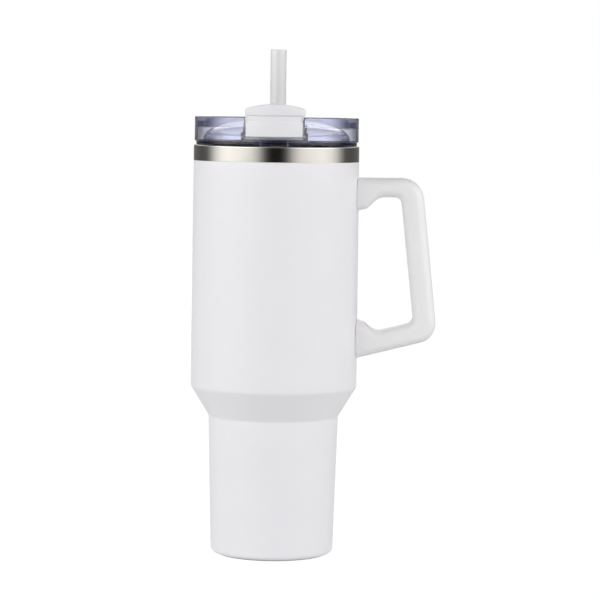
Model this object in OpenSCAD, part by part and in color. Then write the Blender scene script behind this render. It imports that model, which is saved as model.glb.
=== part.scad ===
// Insulated tumbler with a carrying handle, a press-in lid, a sliding sip closure and a straw.
// Millimetres. The origin is the centre of the foot on the surface it stands on, +Z is up,
// the sip opening faces -Y and the handle is on +X.

/* [Steel body] */
// Outside diameter of the body at the top of its coating
body_top_d = 100.1; // [90:0.1:122]
// How much wider the body is just above its shoulder
body_taper = 0.8; // [0:0.1:3]
// Height of the steel rim above the surface
rim_z = 248.7; // [220:0.1:300]
// Height of the bare steel band below the rim
band_h = 9.7; // [6:0.1:20]
// How far the bare band stands proud of the coating
band_proud = 0.1; // [0:0.05:0.5]
// Diameter of the narrow foot at its bottom corner
foot_d = 74.3; // [60:0.1:82]
// How much wider the narrow foot is at the waist
foot_taper = 4.6; // [0:0.1:6]
// Height of the waist, where the narrow foot ends
waist_z = 84.4; // [60:0.1:110]
// Height of the sloping shoulder
shoulder_h = 18; // [10:0.1:30]
// Outside radius of the bend at the foot's bottom corner
foot_bend_r = 3; // [1:0.1:4]
// Radius of the bend at the waist
waist_bend_r = 2; // [1:0.1:6]
// Radius of the bend at the top of the shoulder
shoulder_bend_r = 4; // [1.5:0.1:8]
// Radius of the rolled steel rim
rim_r = 1.3; // [1.1:0.05:2]

/* [Walls] */
// Thickness of the powder coating
coat_t = 0.2; // [0.15:0.05:0.4]
// Thickness of the outer steel sheet
shell_t = 0.6; // [0.4:0.05:0.8]
// Thickness of the inner steel sheet
liner_t = 0.6; // [0.4:0.05:0.8]
// Width of the vacuum space between the two walls
vacuum_gap = 2.4; // [1.8:0.1:3.2]
// Thickness of the copper foil on the liner
foil_t = 0.15; // [0.1:0.05:0.3]
// Height of the liner's floor above the surface
liner_floor_z = 9; // [8.4:0.1:14]
// Radius of the bend between the liner's floor and wall
liner_bowl_r = 6; // [3:0.5:10]
// Depth of the mouth that the lid presses into
mouth_depth = 13.7; // [12.5:0.1:20]

/* [Base] */
// Height that the steel stands above the surface
foot_lift = 0.8; // [0.5:0.1:2]
// Width of the steel foot's turned-in edge, up to the hole that the base cover closes
foot_edge_w = 3.25; // [3.1:0.05:8]
// Thickness of the soft foot pad
pad_t = 1.5; // [1:0.1:2.4]
// Thickness of the base cover and of the bottom disc
base_sheet_t = 0.6; // [0.4:0.05:0.8]
// Height of the bottom disc that closes the vacuum space
bottom_disc_z = 3.6; // [3:0.1:4.5]
// Diameter of the getter pill in the vacuum space
getter_d = 8; // [5:0.5:12]

/* [Lid] */
// How much narrower the lid is than the body
lid_inset = 0.8; // [0:0.1:2]
// Height of the lid's ring wall
ring_h = 14.8; // [12:0.1:24]
// Thickness of the ring wall
ring_t = 1.8; // [1.4:0.1:3]
// Width of the crown along the top of the ring wall
crown_w = 4.8; // [3:0.1:6]
// Height of the crown
crown_h = 6; // [3:0.1:8]
// Height of the shadow gap between the steel rim and the ring wall
shadow_gap_h = 2; // [1.5:0.1:3]
// Thickness of the lid's floor
floor_t = 3.2; // [2.4:0.1:4]
// Height of the domed deck above the floor
deck_h = 11.6; // [9:0.1:13]
// Wall thickness of the deck
deck_t = 2; // [1.4:0.1:2.6]
// Depth of the plug below the steel rim
plug_h = 12; // [11:0.1:12.4]
// Wall thickness of the plug
plug_t = 3; // [2.6:0.1:4]
// Height of the groove that holds the gasket
groove_h = 6; // [4:0.1:7]
// Depth of the groove that holds the gasket
groove_depth = 1.5; // [1:0.1:1.8]
// Clearance between the gasket's lips and the steel mouth
gasket_clearance = 0.12; // [0.1:0.01:0.3]

/* [Sip slide] */
// Width of the front block of the slide
slide_w = 34; // [26:0.2:42]
// How far the raised thumb lip overhangs the block on each side
lip_overhang = 1; // [0:0.1:3]
// Height of the thumb lip's apex above the lid's ring
lip_rise = 8; // [5:0.5:14]
// Radius of the lip's arched top edge
arch_r = 60; // [40:1:120]
// Front-to-back depth of the thumb lip
lip_depth = 9; // [6:0.5:12]
// Front-to-back depth of the front block
block_depth = 15.5; // [12:0.5:18]
// Length of the slide's flat tail behind the block
tail_len = 22; // [16:0.5:24]
// Thickness of the tail
tail_t = 3.4; // [2.4:0.1:4]
// How far the slide moves back to open the sip hole
slide_travel = 15; // [12:0.5:16]
// Clearance of the slide in its channel
slide_clearance = 0.3; // [0.2:0.05:0.5]
// Width of the sip hole
sip_w = 20; // [12:0.5:24]
// Front-to-back length of the sip hole
sip_len = 6.5; // [4.5:0.5:8]

/* [Straw] */
// Outside diameter of the straw
straw_d = 9.7; // [7:0.1:12]
// Wall thickness of the straw
straw_t = 0.9; // [0.6:0.1:1.5]
// Height of the straw's upper end above the lid
straw_rise = 41; // [10:0.1:80]
// Gap between the straw's lower end and the liner's floor
straw_lift = 6; // [3:0.5:12]
// Distance from the slide's channel to the straw's grommet
straw_margin = 2.9; // [1.5:0.1:4]
// Clearance between the straw and its grommet
straw_clearance = 0.08; // [0.05:0.01:0.1]
// Radial thickness of the grommet's sleeve
grommet_t = 1.4; // [1:0.1:2]

/* [Handle] */
// Depth of the handle's flat top edge below the steel rim
handle_drop = 18.9; // [14:0.1:60]
// Thickness of the upper arm
arm_t = 11.6; // [10:0.1:18]
// Thickness of the grip
grip_t = 13.6; // [11:0.1:20]
// Thickness of the lower arm
low_arm_t = 12.6; // [10:0.1:18]
// Distance of the grip's centre line from the body at the upper corner
grip_top_reach = 32; // [24:0.1:50]
// Distance of the grip's centre line from the body at the lower corner
grip_low_reach = 41.5; // [28:0.1:60]
// Height between the two corners of the handle's centre line
grip_h = 86.3; // [76:0.1:104]
// Rise of the lower arm, in degrees
low_arm_angle = 14.4; // [0:0.1:25]
// Outside radius of the handle's upper bend
upper_bend_r = 13.5; // [8:0.5:18]
// Outside radius of the handle's lower bend
lower_bend_r = 12; // [8:0.5:18]
// Radius of the bends on the inside of the handle
inner_bend_r = 4.5; // [2:0.5:8]
// Reach of the upper root's foot from the start of the handle
upper_flare_x = 8.5; // [6:0.1:12]
// Depth of the upper root's foot below the arm
upper_flare_h = 6.9; // [3:0.1:9]
// Reach of the lower root's foot from the start of the handle
lower_flare_x = 8.7; // [5:0.1:12]
// Height of the lower root's foot above the arm
lower_flare_h = 7.8; // [3:0.1:10]
// Length over which each root's foot runs out into its arm
flare_run = 6.8; // [4:0.1:10]
// Radius where each root's foot runs out into its arm
flare_r = 9; // [5:0.5:12]
// Radius at the tip of each root's foot
flare_tip_r = 5.2; // [4.8:0.1:8]
// Slope of each root's foot towards the body
root_slope = 0.26; // [0:0.01:0.5]
// Width of the handle from side to side
handle_w = 22; // [18:0.5:30]
// Radius of the handle's rounded edges
handle_edge_r = 6; // [3:0.1:6]
// Thickness of the soft cover over the handle's core
cover_t = 2.4; // [1.8:0.1:3]
// Thickness of the pads between the handle's ends and the body
root_pad_t = 0.8; // [0.5:0.1:1.5]
// Width of the welded mounting studs
stud_w = 9; // [7:0.5:10]
// Diameter of the handle's screws
screw_d = 3.5; // [3:0.1:4.2]

/* [Hidden] */
$fn = 96;
EPS = 0.01;

// ---- outlines ----
// Unit vector from a to b
function along(a, b) = (b - a) / norm(b - a);
// Unit vector to the left of the way from a to b
function left(a, b) = let (u = along(a, b)) [-u[1], u[0]];
// A path moved to its left by d, with mitred corners
function shifted(path, d) = [for (i = [0:len(path) - 1])
    let (n1 = i > 0 ? left(path[i - 1], path[i]) : left(path[i], path[i + 1]),
         n2 = i < len(path) - 1 ? left(path[i], path[i + 1]) : n1,
         m = n1 + n2)
    path[i] + m * (2 * d / (m * m))];
// The arc of radius r that rounds corner p between a and b
function corner(a, p, b, r, n = 8) = r <= 0 ? [p] :
    let (u = along(p, a), v = along(p, b), half = acos(u * v) / 2,
         c = p + (u + v) / norm(u + v) * (r / sin(half)),
         s = p + u * (r / tan(half)) - c, e = p + v * (r / tan(half)) - c,
         from = atan2(s[1], s[0]), turn = atan2(cross(s, e), s * e))
    [for (i = [0:n]) c + r * [cos(from + turn * i / n), sin(from + turn * i / n)]];
// An open path with its inner corners rounded
function rounded(path, radii) = [for (i = [0:len(path) - 1])
    each (i == 0 || i == len(path) - 1 ? [path[i]] : corner(path[i - 1], path[i], path[i + 1], radii[i]))];
// A list in reverse order
function back(list) = [for (i = [len(list) - 1:-1:0]) list[i]];
// The x of the line a-b at height z
function x_at(a, b, z) = a[0] + (b[0] - a[0]) * (z - a[1]) / (b[1] - a[1]);
// An arc around c from angle a to angle b
function arc(c, r, a, b, n = 10) = [for (i = [0:n]) c + r * [cos(a + (b - a) * i / n), sin(a + (b - a) * i / n)]];

// ---- body ----
coat_top_z = rim_z - band_h;
shoulder_z = waist_z + shoulder_h;
body_low_d = body_top_d + body_taper;
waist_d = foot_d + foot_taper;
base_hole_r = foot_d / 2 - foot_edge_w;
OUTLINE = [[base_hole_r, foot_lift], [foot_d / 2, foot_lift], [waist_d / 2, waist_z],
    [body_low_d / 2, shoulder_z], [body_top_d / 2, coat_top_z]];
// The body's outside moved inwards by d
function skin(d) = rounded(shifted(OUTLINE, d),
    [0, max(foot_bend_r - d, 0.2), waist_bend_r + d, max(shoulder_bend_r - d, 0.4), 0]);
band_r = body_top_d / 2 + band_proud;
rim_mid_r = band_r - rim_r;
mouth_r = band_r - 2 * rim_r;
steel_in = coat_t + shell_t;
liner_out = steel_in + vacuum_gap;
liner_in = liner_out + liner_t;
rim_c = [rim_mid_r, rim_z - rim_r];
mouth_floor_z = rim_z - mouth_depth;
liner_waist_r = 5;
liner_shoulder_r = 4;
mouth_step_h = 2;
// The liner's surface at depth d inside the body, from floor height z0 to below the mouth
function liner_side(d, z0, grow) = let (s = shifted(OUTLINE, d)) rounded(
    [[0, z0], [x_at(s[1], s[2], z0), z0], s[2], s[3], [x_at(s[3], s[4], mouth_floor_z - mouth_step_h),
     mouth_floor_z - mouth_step_h]],
    [0, liner_bowl_r + grow, liner_waist_r - grow, liner_shoulder_r + grow, 0]);

module spun(points) rotate_extrude() polygon(points);

module outer_shell() color("silver") spun(concat(
    skin(coat_t), [[band_r, coat_top_z]], arc(rim_c, rim_r, 0, 90),
    arc(rim_c, rim_r - shell_t, 90, 0), [[band_r - shell_t, coat_top_z]], back(skin(steel_in))));

module powder_coat() color("whitesmoke") difference() {
    spun(concat(skin(0), back(skin(coat_t))));
    bracket_plate(upper_stud_z);
    bracket_plate(lower_stud_z);
}

module inner_liner() color("gainsboro") spun(concat(
    liner_side(liner_in, liner_floor_z, 0), [[mouth_r, mouth_floor_z]], arc(rim_c, rim_r, 180, 90),
    arc(rim_c, rim_r - liner_t, 90, 180), [[mouth_r + liner_t, mouth_floor_z - liner_t * 0.5]],
    back(liner_side(liner_out, liner_floor_z - liner_t, liner_t))));

foil_low_z = 20;
foil_top_z = mouth_floor_z - mouth_step_h - 4;
// The part of the liner's side between the foil's two edges
function foil_side(d) = let (s = shifted(OUTLINE, d)) rounded(
    [[x_at(s[1], s[2], foil_low_z), foil_low_z], s[2], s[3], [x_at(s[3], s[4], foil_top_z), foil_top_z]],
    [0, liner_waist_r - liner_t, liner_shoulder_r + liner_t, 0]);
module copper_foil() color("peru") spun(concat(
    foil_side(liner_out - foil_t), back(foil_side(liner_out))));

// ---- base ----
bottom_r = x_at(shifted(OUTLINE, steel_in)[1], shifted(OUTLINE, steel_in)[2], bottom_disc_z) - EPS;
dimple_r = 7;
dimple_h = 0.9;
vent_r = 1;
seal_drop = 0.7;
module bottom_disc() color("silver") difference() {
    union() {
        translate([0, 0, bottom_disc_z]) cylinder(r = bottom_r, h = base_sheet_t);
        translate([0, 0, bottom_disc_z]) cylinder(r = dimple_r, h = dimple_h + base_sheet_t);
    }
    translate([0, 0, bottom_disc_z - EPS]) cylinder(r = dimple_r - base_sheet_t, h = dimple_h + EPS);
    cylinder(r = vent_r, h = liner_floor_z);
}
module vacuum_seal() color("dimgray") {
    translate([0, 0, bottom_disc_z + dimple_h - seal_drop]) cylinder(r1 = 2 * vent_r, r2 = 3 * vent_r, h = seal_drop);
    translate([0, 0, bottom_disc_z + dimple_h - EPS]) cylinder(r = vent_r, h = base_sheet_t);
}

getter_x = 20;
getter_h = 2.4;
getter_z = bottom_disc_z + base_sheet_t;
clip_t = 0.3;
module getter() color("darkslategray") translate([getter_x, 0, getter_z + clip_t])
    cylinder(d = getter_d, h = getter_h);
module getter_clip() color("silver") translate([getter_x, 0, getter_z]) {
    difference() {
        cylinder(d = getter_d + 2 * clip_t, h = getter_h * 0.7);
        translate([0, 0, clip_t]) cylinder(d = getter_d, h = getter_h);
    }
    translate([getter_d / 2, -2, 0]) cube([5, 4, clip_t]);
}

cover_rim_h = bottom_disc_z - pad_t - base_sheet_t - 0.3;
module base_cover() color("silver") translate([0, 0, pad_t]) difference() {
    cylinder(r = base_hole_r, h = base_sheet_t + cover_rim_h);
    translate([0, 0, base_sheet_t]) cylinder(r = base_hole_r - base_sheet_t, h = cover_rim_h + EPS);
}
pad_edge = 0.5;
pad_r = base_hole_r - 0.4;
tread_r = [for (i = [1:4]) pad_r * i / 5];
tread_w = 1;
tread_depth = 0.4;
module foot_pad() color("lightgray") difference() {
    spun([[0, 0], [pad_r - pad_edge, 0], [pad_r, pad_edge], [pad_r, pad_t], [0, pad_t]]);
    for (r = tread_r) translate([0, 0, -EPS]) difference() {
        cylinder(r = r + tread_w / 2, h = tread_depth + EPS);
        translate([0, 0, -EPS]) cylinder(r = r - tread_w / 2, h = tread_depth + 3 * EPS);
    }
}

// ---- handle ----
handle_top_z = rim_z - handle_drop;
top_line_z = handle_top_z - arm_t / 2;
low_slope = tan(low_arm_angle);
root_x = body_top_d / 2 - 3;
upper_centre = [body_top_d / 2 + grip_top_reach, top_line_z];
lower_centre = [body_top_d / 2 + grip_low_reach, top_line_z - grip_h];
root_low = lower_centre - (lower_centre[0] - root_x) * [1, low_slope];
CENTRE = [[root_x, top_line_z], upper_centre, lower_centre, root_low];
// The corner where line a-b moved by d1 meets line b-c moved by d2
function meet(a, b, c, d1, d2) = let (n1 = left(a, b), n2 = left(b, c), k = n1 * n2)
    b + ((d1 - d2 * k) * n1 + (d2 - d1 * k) * n2) / (1 - k * k);
// The handle's outer and inner edges, each moved inwards by d
function outer_edge(d) = let (a = arm_t / 2 - d, g = grip_t / 2 - d, l = low_arm_t / 2 - d) rounded(
    [CENTRE[0] + a * left(CENTRE[0], CENTRE[1]), meet(CENTRE[0], CENTRE[1], CENTRE[2], a, g),
     meet(CENTRE[1], CENTRE[2], CENTRE[3], g, l), CENTRE[3] + l * left(CENTRE[2], CENTRE[3])],
    [0, upper_bend_r - d, lower_bend_r - d, 0]);
function inner_edge(d) = let (a = -arm_t / 2 + d, g = -grip_t / 2 + d, l = -low_arm_t / 2 + d,
         p = CENTRE[0] + a * left(CENTRE[0], CENTRE[1]), q = CENTRE[3] + l * left(CENTRE[2], CENTRE[3]),
         up = [1, low_slope]) rounded(
    [p - [0, upper_flare_h + upper_flare_x * root_slope], p + [upper_flare_x, -upper_flare_h],
     p + [upper_flare_x + flare_run, 0],
     meet(CENTRE[0], CENTRE[1], CENTRE[2], a, g), meet(CENTRE[1], CENTRE[2], CENTRE[3], g, l),
     q + (lower_flare_x + flare_run) * up, q + lower_flare_x * up + [0, lower_flare_h],
     q + [0, lower_flare_h + lower_flare_x * (low_slope + root_slope)]],
    [0, flare_tip_r - d, flare_r + d, inner_bend_r + d, inner_bend_r + d, flare_r + d, flare_tip_r - d, 0]);
module handle_plate(d, w) rotate([90, 0, 0]) linear_extrude(w, center = true)
    polygon(concat(outer_edge(d), back(inner_edge(d))));

stud_len = 9;
stud_x = body_top_d / 2 - coat_t + stud_len;
stud_h = 7;
plate_h = 13;
plate_w = 14;
plate_t = 1;
screw_x = stud_x - 3.8;
screw_head_d = screw_d * 1.6;
screw_head_h = 2.4;
stud_clearance = 0.15;
screw_clearance = 0.1;
// Height of each screw head's lower face, and of each stud's middle
head_depth = 3.4;
ledge_t = 1.5;
upper_head_z = handle_top_z - arm_t - upper_flare_h + (screw_x - root_x - upper_flare_x) * root_slope + head_depth;
lower_head_z = root_low[1] - low_arm_t / 2 + (screw_x - root_x) * low_slope + head_depth;
stud_above_head = screw_head_h + ledge_t + stud_h / 2;
upper_stud_z = upper_head_z + stud_above_head;
lower_stud_z = lower_head_z + stud_above_head;
// Everything inside the body's outside, moved outwards by d
module body_space(d = 0) spun(concat([[0, foot_lift]], skin(-d), [[0, coat_top_z]]));
module steel_space() spun(concat([[0, foot_lift]], skin(coat_t), [[0, coat_top_z]]));
module bracket_plate(z) translate([0, 0, z]) intersection() {
    translate([body_top_d / 2 - 4, -plate_w / 2, -plate_h / 2]) cube([8, plate_w, plate_h]);
    difference() {
        cylinder(r = body_low_d / 2 + plate_t, h = plate_h, center = true);
        translate([0, 0, -z]) steel_space();
    }
}
module stud(z, gap = 0) translate([body_top_d / 2 - 1, -stud_w / 2 - gap, z - stud_h / 2 - gap])
    cube([stud_x - body_top_d / 2 + 1 + gap, stud_w + 2 * gap, stud_h + 2 * gap]);
module bracket(z) difference() {
    union() {
        bracket_plate(z);
        difference() { stud(z); steel_space(); }
    }
    translate([screw_x, 0, z]) cylinder(d = screw_d, h = stud_h + 2, center = true);
}
module upper_bracket() color("silver") bracket(upper_stud_z);
module lower_bracket() color("silver") bracket(lower_stud_z);

module screw(stud_z, head_z) translate([screw_x, 0, head_z]) difference() {
    union() {
        cylinder(d = screw_head_d, h = screw_head_h);
        cylinder(d = screw_d - 2 * screw_clearance, h = stud_z + stud_h / 2 - 1 - head_z);
    }
    translate([0, 0, -EPS]) cylinder(d = screw_d * 0.6, h = screw_head_h * 0.6, $fn = 6);
}
module handle_screws() color("dimgray") {
    screw(upper_stud_z, upper_head_z);
    screw(lower_stud_z, lower_head_z);
}
module screw_way(stud_z, head_z, d) translate([screw_x, 0, head_z]) {
    cylinder(d = screw_d + 2 * screw_clearance, h = stud_z - head_z);
    translate([0, 0, -12]) cylinder(d = d, h = 12 + screw_head_h);
}
module screw_ways(d) {
    screw_way(upper_stud_z, upper_head_z, d);
    screw_way(lower_stud_z, lower_head_z, d);
}
head_room_d = screw_head_d + 0.4;
module handle_core() color("gray") difference() {
    handle_plate(cover_t, handle_w - 2 * cover_t);
    body_space(root_pad_t);
    bracket_room();
    screw_ways(head_room_d);
}
module bracket_room() {
    stud(upper_stud_z, stud_clearance);
    stud(lower_stud_z, stud_clearance);
    for (z = [upper_stud_z, lower_stud_z]) translate([0, 0, z]) intersection() {
        translate([body_top_d / 2 - 4, -plate_w / 2 - stud_clearance, -plate_h / 2 - stud_clearance])
            cube([9, plate_w + 2 * stud_clearance, plate_h + 2 * stud_clearance]);
        cylinder(r = body_low_d / 2 + plate_t + stud_clearance, h = plate_h + 2, center = true);
    }
}
edge_r = min(handle_edge_r, (min(arm_t, grip_t, low_arm_t) - 0.8) / 2);
module handle_solid() minkowski() {
    handle_plate(edge_r, handle_w - 2 * edge_r);
    sphere(r = edge_r, $fn = 20);
}
module handle_cover() color("gainsboro") difference() {
    handle_solid();
    handle_plate(cover_t, handle_w - 2 * cover_t);
    body_space(root_pad_t);
    bracket_room();
    screw_ways(head_room_d);
}
module screw_plugs() color("gainsboro") intersection() {
    for (z = [upper_head_z, lower_head_z])
        translate([screw_x, 0, z - 8.1]) cylinder(d = head_room_d - 0.1, h = 8);
    handle_plate(0.05, handle_w);
}
module root_pad(z, h) intersection() {
    difference() {
        body_space(root_pad_t);
        body_space();
        bracket_room();
    }
    translate([body_top_d / 2 - 8, 0, z]) rotate([0, 90, 0]) linear_extrude(20)
        square([h, handle_w - 4], center = true);
}
module root_pads() color("dimgray") {
    root_pad(handle_top_z - 10.6, 16);
    root_pad(root_low[1] + 4.8, 18);
}

// ---- lid ----
seat_z = rim_z + 0.1;
ring_low_z = seat_z + shadow_gap_h;
ring_top_z = ring_low_z + ring_h - 0.1;
floor_z = seat_z + floor_t;
ring_r = (body_top_d - lid_inset) / 2;
neck_r = ring_r - 0.9;
plug_r = mouth_r - 0.6;
plug_low_z = seat_z - plug_h;
groove_z = seat_z - 10;
channel_w = slide_w + 2 * slide_clearance;
channel_wall = 1.9;
tail_end_y = -ring_r + block_depth + tail_len;
channel_end_y = tail_end_y + slide_travel + 1;
deck_r = ring_r - crown_w - 0.4;
grommet_r = straw_d / 2 + straw_clearance + grommet_t;
grommet_lip = 1.2;
straw_y = channel_end_y + channel_wall + grommet_r + straw_margin;
sip_y = -ring_r + ring_t + 3.2 + sip_len / 2;
notch_low_z = floor_z + 1.4;

module sip_cut() translate([0, sip_y, seat_z - 1]) {
    translate([-(sip_w - sip_len) / 2, -sip_len / 2, 0]) cube([sip_w - sip_len, sip_len, floor_t + 2]);
    for (s = [-1, 1]) translate([s * (sip_w - sip_len) / 2, 0, 0]) cylinder(d = sip_len, h = floor_t + 2);
}
air_hole_r = 1.2;
air_hole_y = 32;
module lid_plug() color("lightsteelblue", 0.6) difference() {
    spun([[0, seat_z], [plug_r - plug_t, seat_z], [plug_r - plug_t, plug_low_z], [plug_r - 0.6, plug_low_z],
        [plug_r, plug_low_z + 0.6], [plug_r, groove_z], [plug_r - groove_depth, groove_z],
        [plug_r - groove_depth, groove_z + groove_h], [plug_r, groove_z + groove_h], [plug_r, seat_z],
        [neck_r, seat_z], [neck_r, ring_low_z], [ring_r - ring_t, ring_low_z], [ring_r - ring_t, floor_z],
        [0, floor_z]]);
    sip_cut();
    translate([0, straw_y, seat_z - 1]) cylinder(r = grommet_r + 0.4, h = floor_t + 2);
    translate([0, air_hole_y, seat_z - 1]) cylinder(r = air_hole_r, h = floor_t + 2);
}
crown_edge = 0.8;
module notch(gap) translate([-slide_w / 2 - gap, -ring_r - 1, notch_low_z])
    cube([slide_w + 2 * gap, ring_r, ring_h]);
module lid_ring() color("lightsteelblue", 0.6) difference() {
    spun(concat([[ring_r, ring_low_z]], arc([ring_r - crown_edge, ring_top_z - crown_edge], crown_edge, 0, 90),
        arc([ring_r - crown_w + crown_edge, ring_top_z - crown_edge], crown_edge, 90, 180),
        [[ring_r - crown_w, ring_top_z - crown_h], [ring_r - ring_t, ring_top_z - crown_h],
         [ring_r - ring_t, ring_low_z]]));
    notch(slide_clearance);
}
dome_power = 2.6;
// The dome's profile: a flattened ellipse of radius r and height h
function dome(r, h, n = 24) = [for (i = [0:n]) let (a = 90 * i / n)
    [r * pow(cos(a), 2 / dome_power), floor_z + h * pow(sin(a), 2 / dome_power)]];
module dome_solid(d = 0) spun(concat([[0, floor_z]], dome(deck_r - d, deck_h - d)));
module channel_box(grow, end) translate([-channel_w / 2 - grow, -ring_r - 5, floor_z - 1])
    cube([channel_w + 2 * grow, channel_end_y + end + ring_r + 5, deck_h + 5]);
rail_w = 0.9;
rail_h = 1.8;
rail_z = floor_z + 1;
module rail_room() translate([-channel_w / 2 - rail_w, -ring_r - 5, rail_z - slide_clearance])
    cube([channel_w + 2 * rail_w, channel_end_y + ring_r + 5, rail_h + 2 * slide_clearance]);
module lid_deck() color("lightsteelblue", 0.6) difference() {
    union() {
        difference() {
            dome_solid();
            translate([0, 0, -EPS]) dome_solid(deck_t);
        }
        intersection() {
            dome_solid();
            channel_box(channel_wall, channel_wall);
        }
        translate([0, straw_y, floor_z]) cylinder(r = grommet_r + grommet_lip + 0.6, h = deck_h);
    }
    channel_box(0, 0);
    rail_room();
    translate([0, straw_y, floor_z - 1]) cylinder(r = grommet_r, h = deck_h + 5);
    translate([0, air_hole_y, floor_z - 1]) cylinder(r = air_hole_r, h = deck_h + 5);
}
gasket_r = mouth_r - gasket_clearance;
gasket_in_r = plug_r - groove_depth;
lip_t = 0.9;
// One sealing lip of the gasket, rising outwards from height z
function lip(z) = [[plug_r, z], [gasket_r, z + lip_t], [gasket_r, z + 1.5 * lip_t], [plug_r, z + 1.2 * lip_t]];
module lid_gasket() color("aliceblue") spun(concat(
    [[gasket_in_r, groove_z + 0.1]], [[plug_r, groove_z + 0.1]], lip(groove_z + 0.8), lip(groove_z + 3),
    [[plug_r, groove_z + groove_h - 0.1], [gasket_in_r, groove_z + groove_h - 0.1]]));

// ---- sip slide ----
slide_low_z = floor_z + slide_clearance;
block_low_z = notch_low_z + slide_clearance;
block_back_y = -ring_r + block_depth;
// Gap between the lid's ring and the thumb lip that passes over it
lip_gap = 0.6;
lip_low_z = ring_top_z + lip_gap;
neck_inset = 2;
lip_top_z = ring_top_z + lip_rise;
lip_ball = 1.4;
// Height of the lip's top edge at x
function arch_z(x) = lip_top_z - arch_r + sqrt(arch_r * arch_r - x * x);
module block_part(r, low_z, high_z) translate([0, 0, low_z]) intersection() {
    cylinder(r = r, h = high_z - low_z);
    translate([-slide_w / 2, -ring_r, -1]) cube([slide_w, block_depth, high_z - low_z + 2]);
}
module block() {
    block_part(ring_r - 0.1, block_low_z, ring_top_z);
    block_part(ring_r - ring_t - slide_clearance, slide_low_z, block_low_z + EPS);
}
module thumb_lip() hull() for (s = [-1, -0.75, -0.5, -0.25, 0, 0.25, 0.5, 0.75, 1])
    let (x = s * (slide_w / 2 + lip_overhang - lip_ball), y = -sqrt(pow(ring_r + 0.2 - lip_ball, 2) - x * x)) {
        translate([x, y, arch_z(x) - lip_ball]) sphere(r = lip_ball, $fn = 24);
        translate([x, y, lip_low_z + lip_ball]) sphere(r = lip_ball, $fn = 24);
        translate([x, -ring_r + lip_depth, arch_z(x) - 2.4 * lip_ball]) sphere(r = lip_ball, $fn = 24);
        translate([x, -ring_r + lip_depth, lip_low_z + lip_ball]) sphere(r = lip_ball, $fn = 24);
    }
module slide() color("white") {
    difference() {
        block();
        translate([0, sip_y, slide_low_z - EPS]) linear_extrude(seal_t + EPS) sip_outline(seal_gap);
    }
    translate([neck_inset - slide_w / 2, neck_inset - ring_r + 1, ring_top_z - 1])
        cube([slide_w - 2 * neck_inset, lip_depth - neck_inset, lip_gap + 2]);
    thumb_lip();
    translate([-slide_w / 2, block_back_y - EPS, slide_low_z]) cube([slide_w, tail_len, tail_t]);
    for (s = [-1, 1]) translate([s * (slide_w + rail_w) / 2 - rail_w / 2, block_back_y, rail_z])
        cube([rail_w, tail_len, rail_h]);
}
seal_t = 1.6;
seal_gap = 1.6;
module sip_outline(grow) {
    square([sip_w - sip_len, sip_len + 2 * grow], center = true);
    for (s = [-1, 1]) translate([s * (sip_w - sip_len) / 2, 0]) circle(d = sip_len + 2 * grow);
}
module slide_seal() color("aliceblue") translate([0, sip_y, floor_z + 0.1])
    linear_extrude(slide_low_z + seal_t - floor_z - 0.1) sip_outline(seal_gap - 0.05);

// ---- straw ----
straw_low_z = liner_floor_z + straw_lift;
straw_top_z = ring_top_z + straw_rise;
module straw() color("ghostwhite", 0.7) translate([0, straw_y, straw_low_z]) difference() {
    cylinder(d = straw_d, h = straw_top_z - straw_low_z);
    translate([0, 0, -1]) cylinder(d = straw_d - 2 * straw_t, h = straw_top_z - straw_low_z + 2);
}
module straw_grommet() color("aliceblue") translate([0, straw_y, 0]) difference() {
    union() {
        translate([0, 0, floor_z + 1]) cylinder(r = grommet_r, h = deck_h - 1);
        translate([0, 0, floor_z + deck_h]) cylinder(r = grommet_r + grommet_lip, h = 1);
    }
    cylinder(d = straw_d + 2 * straw_clearance, h = 400);
}

outer_shell();
powder_coat();
inner_liner();
copper_foil();
bottom_disc();
getter();
getter_clip();
vacuum_seal();
base_cover();
foot_pad();
handle_core();
handle_cover();
upper_bracket();
lower_bracket();
handle_screws();
screw_plugs();
root_pads();
lid_plug();
lid_ring();
lid_deck();
lid_gasket();
slide();
slide_seal();
straw_grommet();
straw();
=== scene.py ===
"""Looks of an insulated tumbler: coated steel body, handle, clear lid, sip slide and straw.

Sizes in the classes and formulas are millimetres, and turn to metres where a mesh is made.
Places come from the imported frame: +Z up, the sip slide faces -Y and the handle points to +X.
"""

import logging
import math
from dataclasses import dataclass, field
from enum import Enum

import bpy
import numpy as np
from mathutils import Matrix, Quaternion, Vector

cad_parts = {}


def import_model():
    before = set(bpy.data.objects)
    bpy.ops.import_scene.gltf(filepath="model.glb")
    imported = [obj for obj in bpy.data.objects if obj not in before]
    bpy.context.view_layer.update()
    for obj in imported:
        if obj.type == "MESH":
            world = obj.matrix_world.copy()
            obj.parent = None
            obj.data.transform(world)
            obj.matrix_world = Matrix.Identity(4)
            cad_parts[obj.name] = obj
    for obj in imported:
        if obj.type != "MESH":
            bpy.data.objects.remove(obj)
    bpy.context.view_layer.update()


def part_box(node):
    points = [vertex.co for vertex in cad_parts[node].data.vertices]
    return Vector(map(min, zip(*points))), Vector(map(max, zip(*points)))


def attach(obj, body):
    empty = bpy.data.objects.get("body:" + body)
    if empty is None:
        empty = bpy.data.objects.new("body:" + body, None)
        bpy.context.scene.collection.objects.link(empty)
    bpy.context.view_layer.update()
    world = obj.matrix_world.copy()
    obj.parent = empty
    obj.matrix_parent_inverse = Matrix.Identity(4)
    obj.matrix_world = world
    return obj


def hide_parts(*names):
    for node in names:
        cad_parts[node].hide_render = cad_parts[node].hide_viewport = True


MM = 0.001
SEGMENTS = 256
TUBE_SEGMENTS = 128
HOLE_SEGMENTS = 96
SCREW_SEGMENTS = 64
SHARP_ANGLE = math.radians(38)
LEAST_R = 0.05  # smallest corner radius of a block, in millimetres
NOISE_SPAN = (0.3, 0.7)  # nearly all of a noise's values lie between these
GRAIN_SHARE = 0.4  # how much of the roughness follows the fine grain
LOG = logging.getLogger("tumbler")


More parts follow.
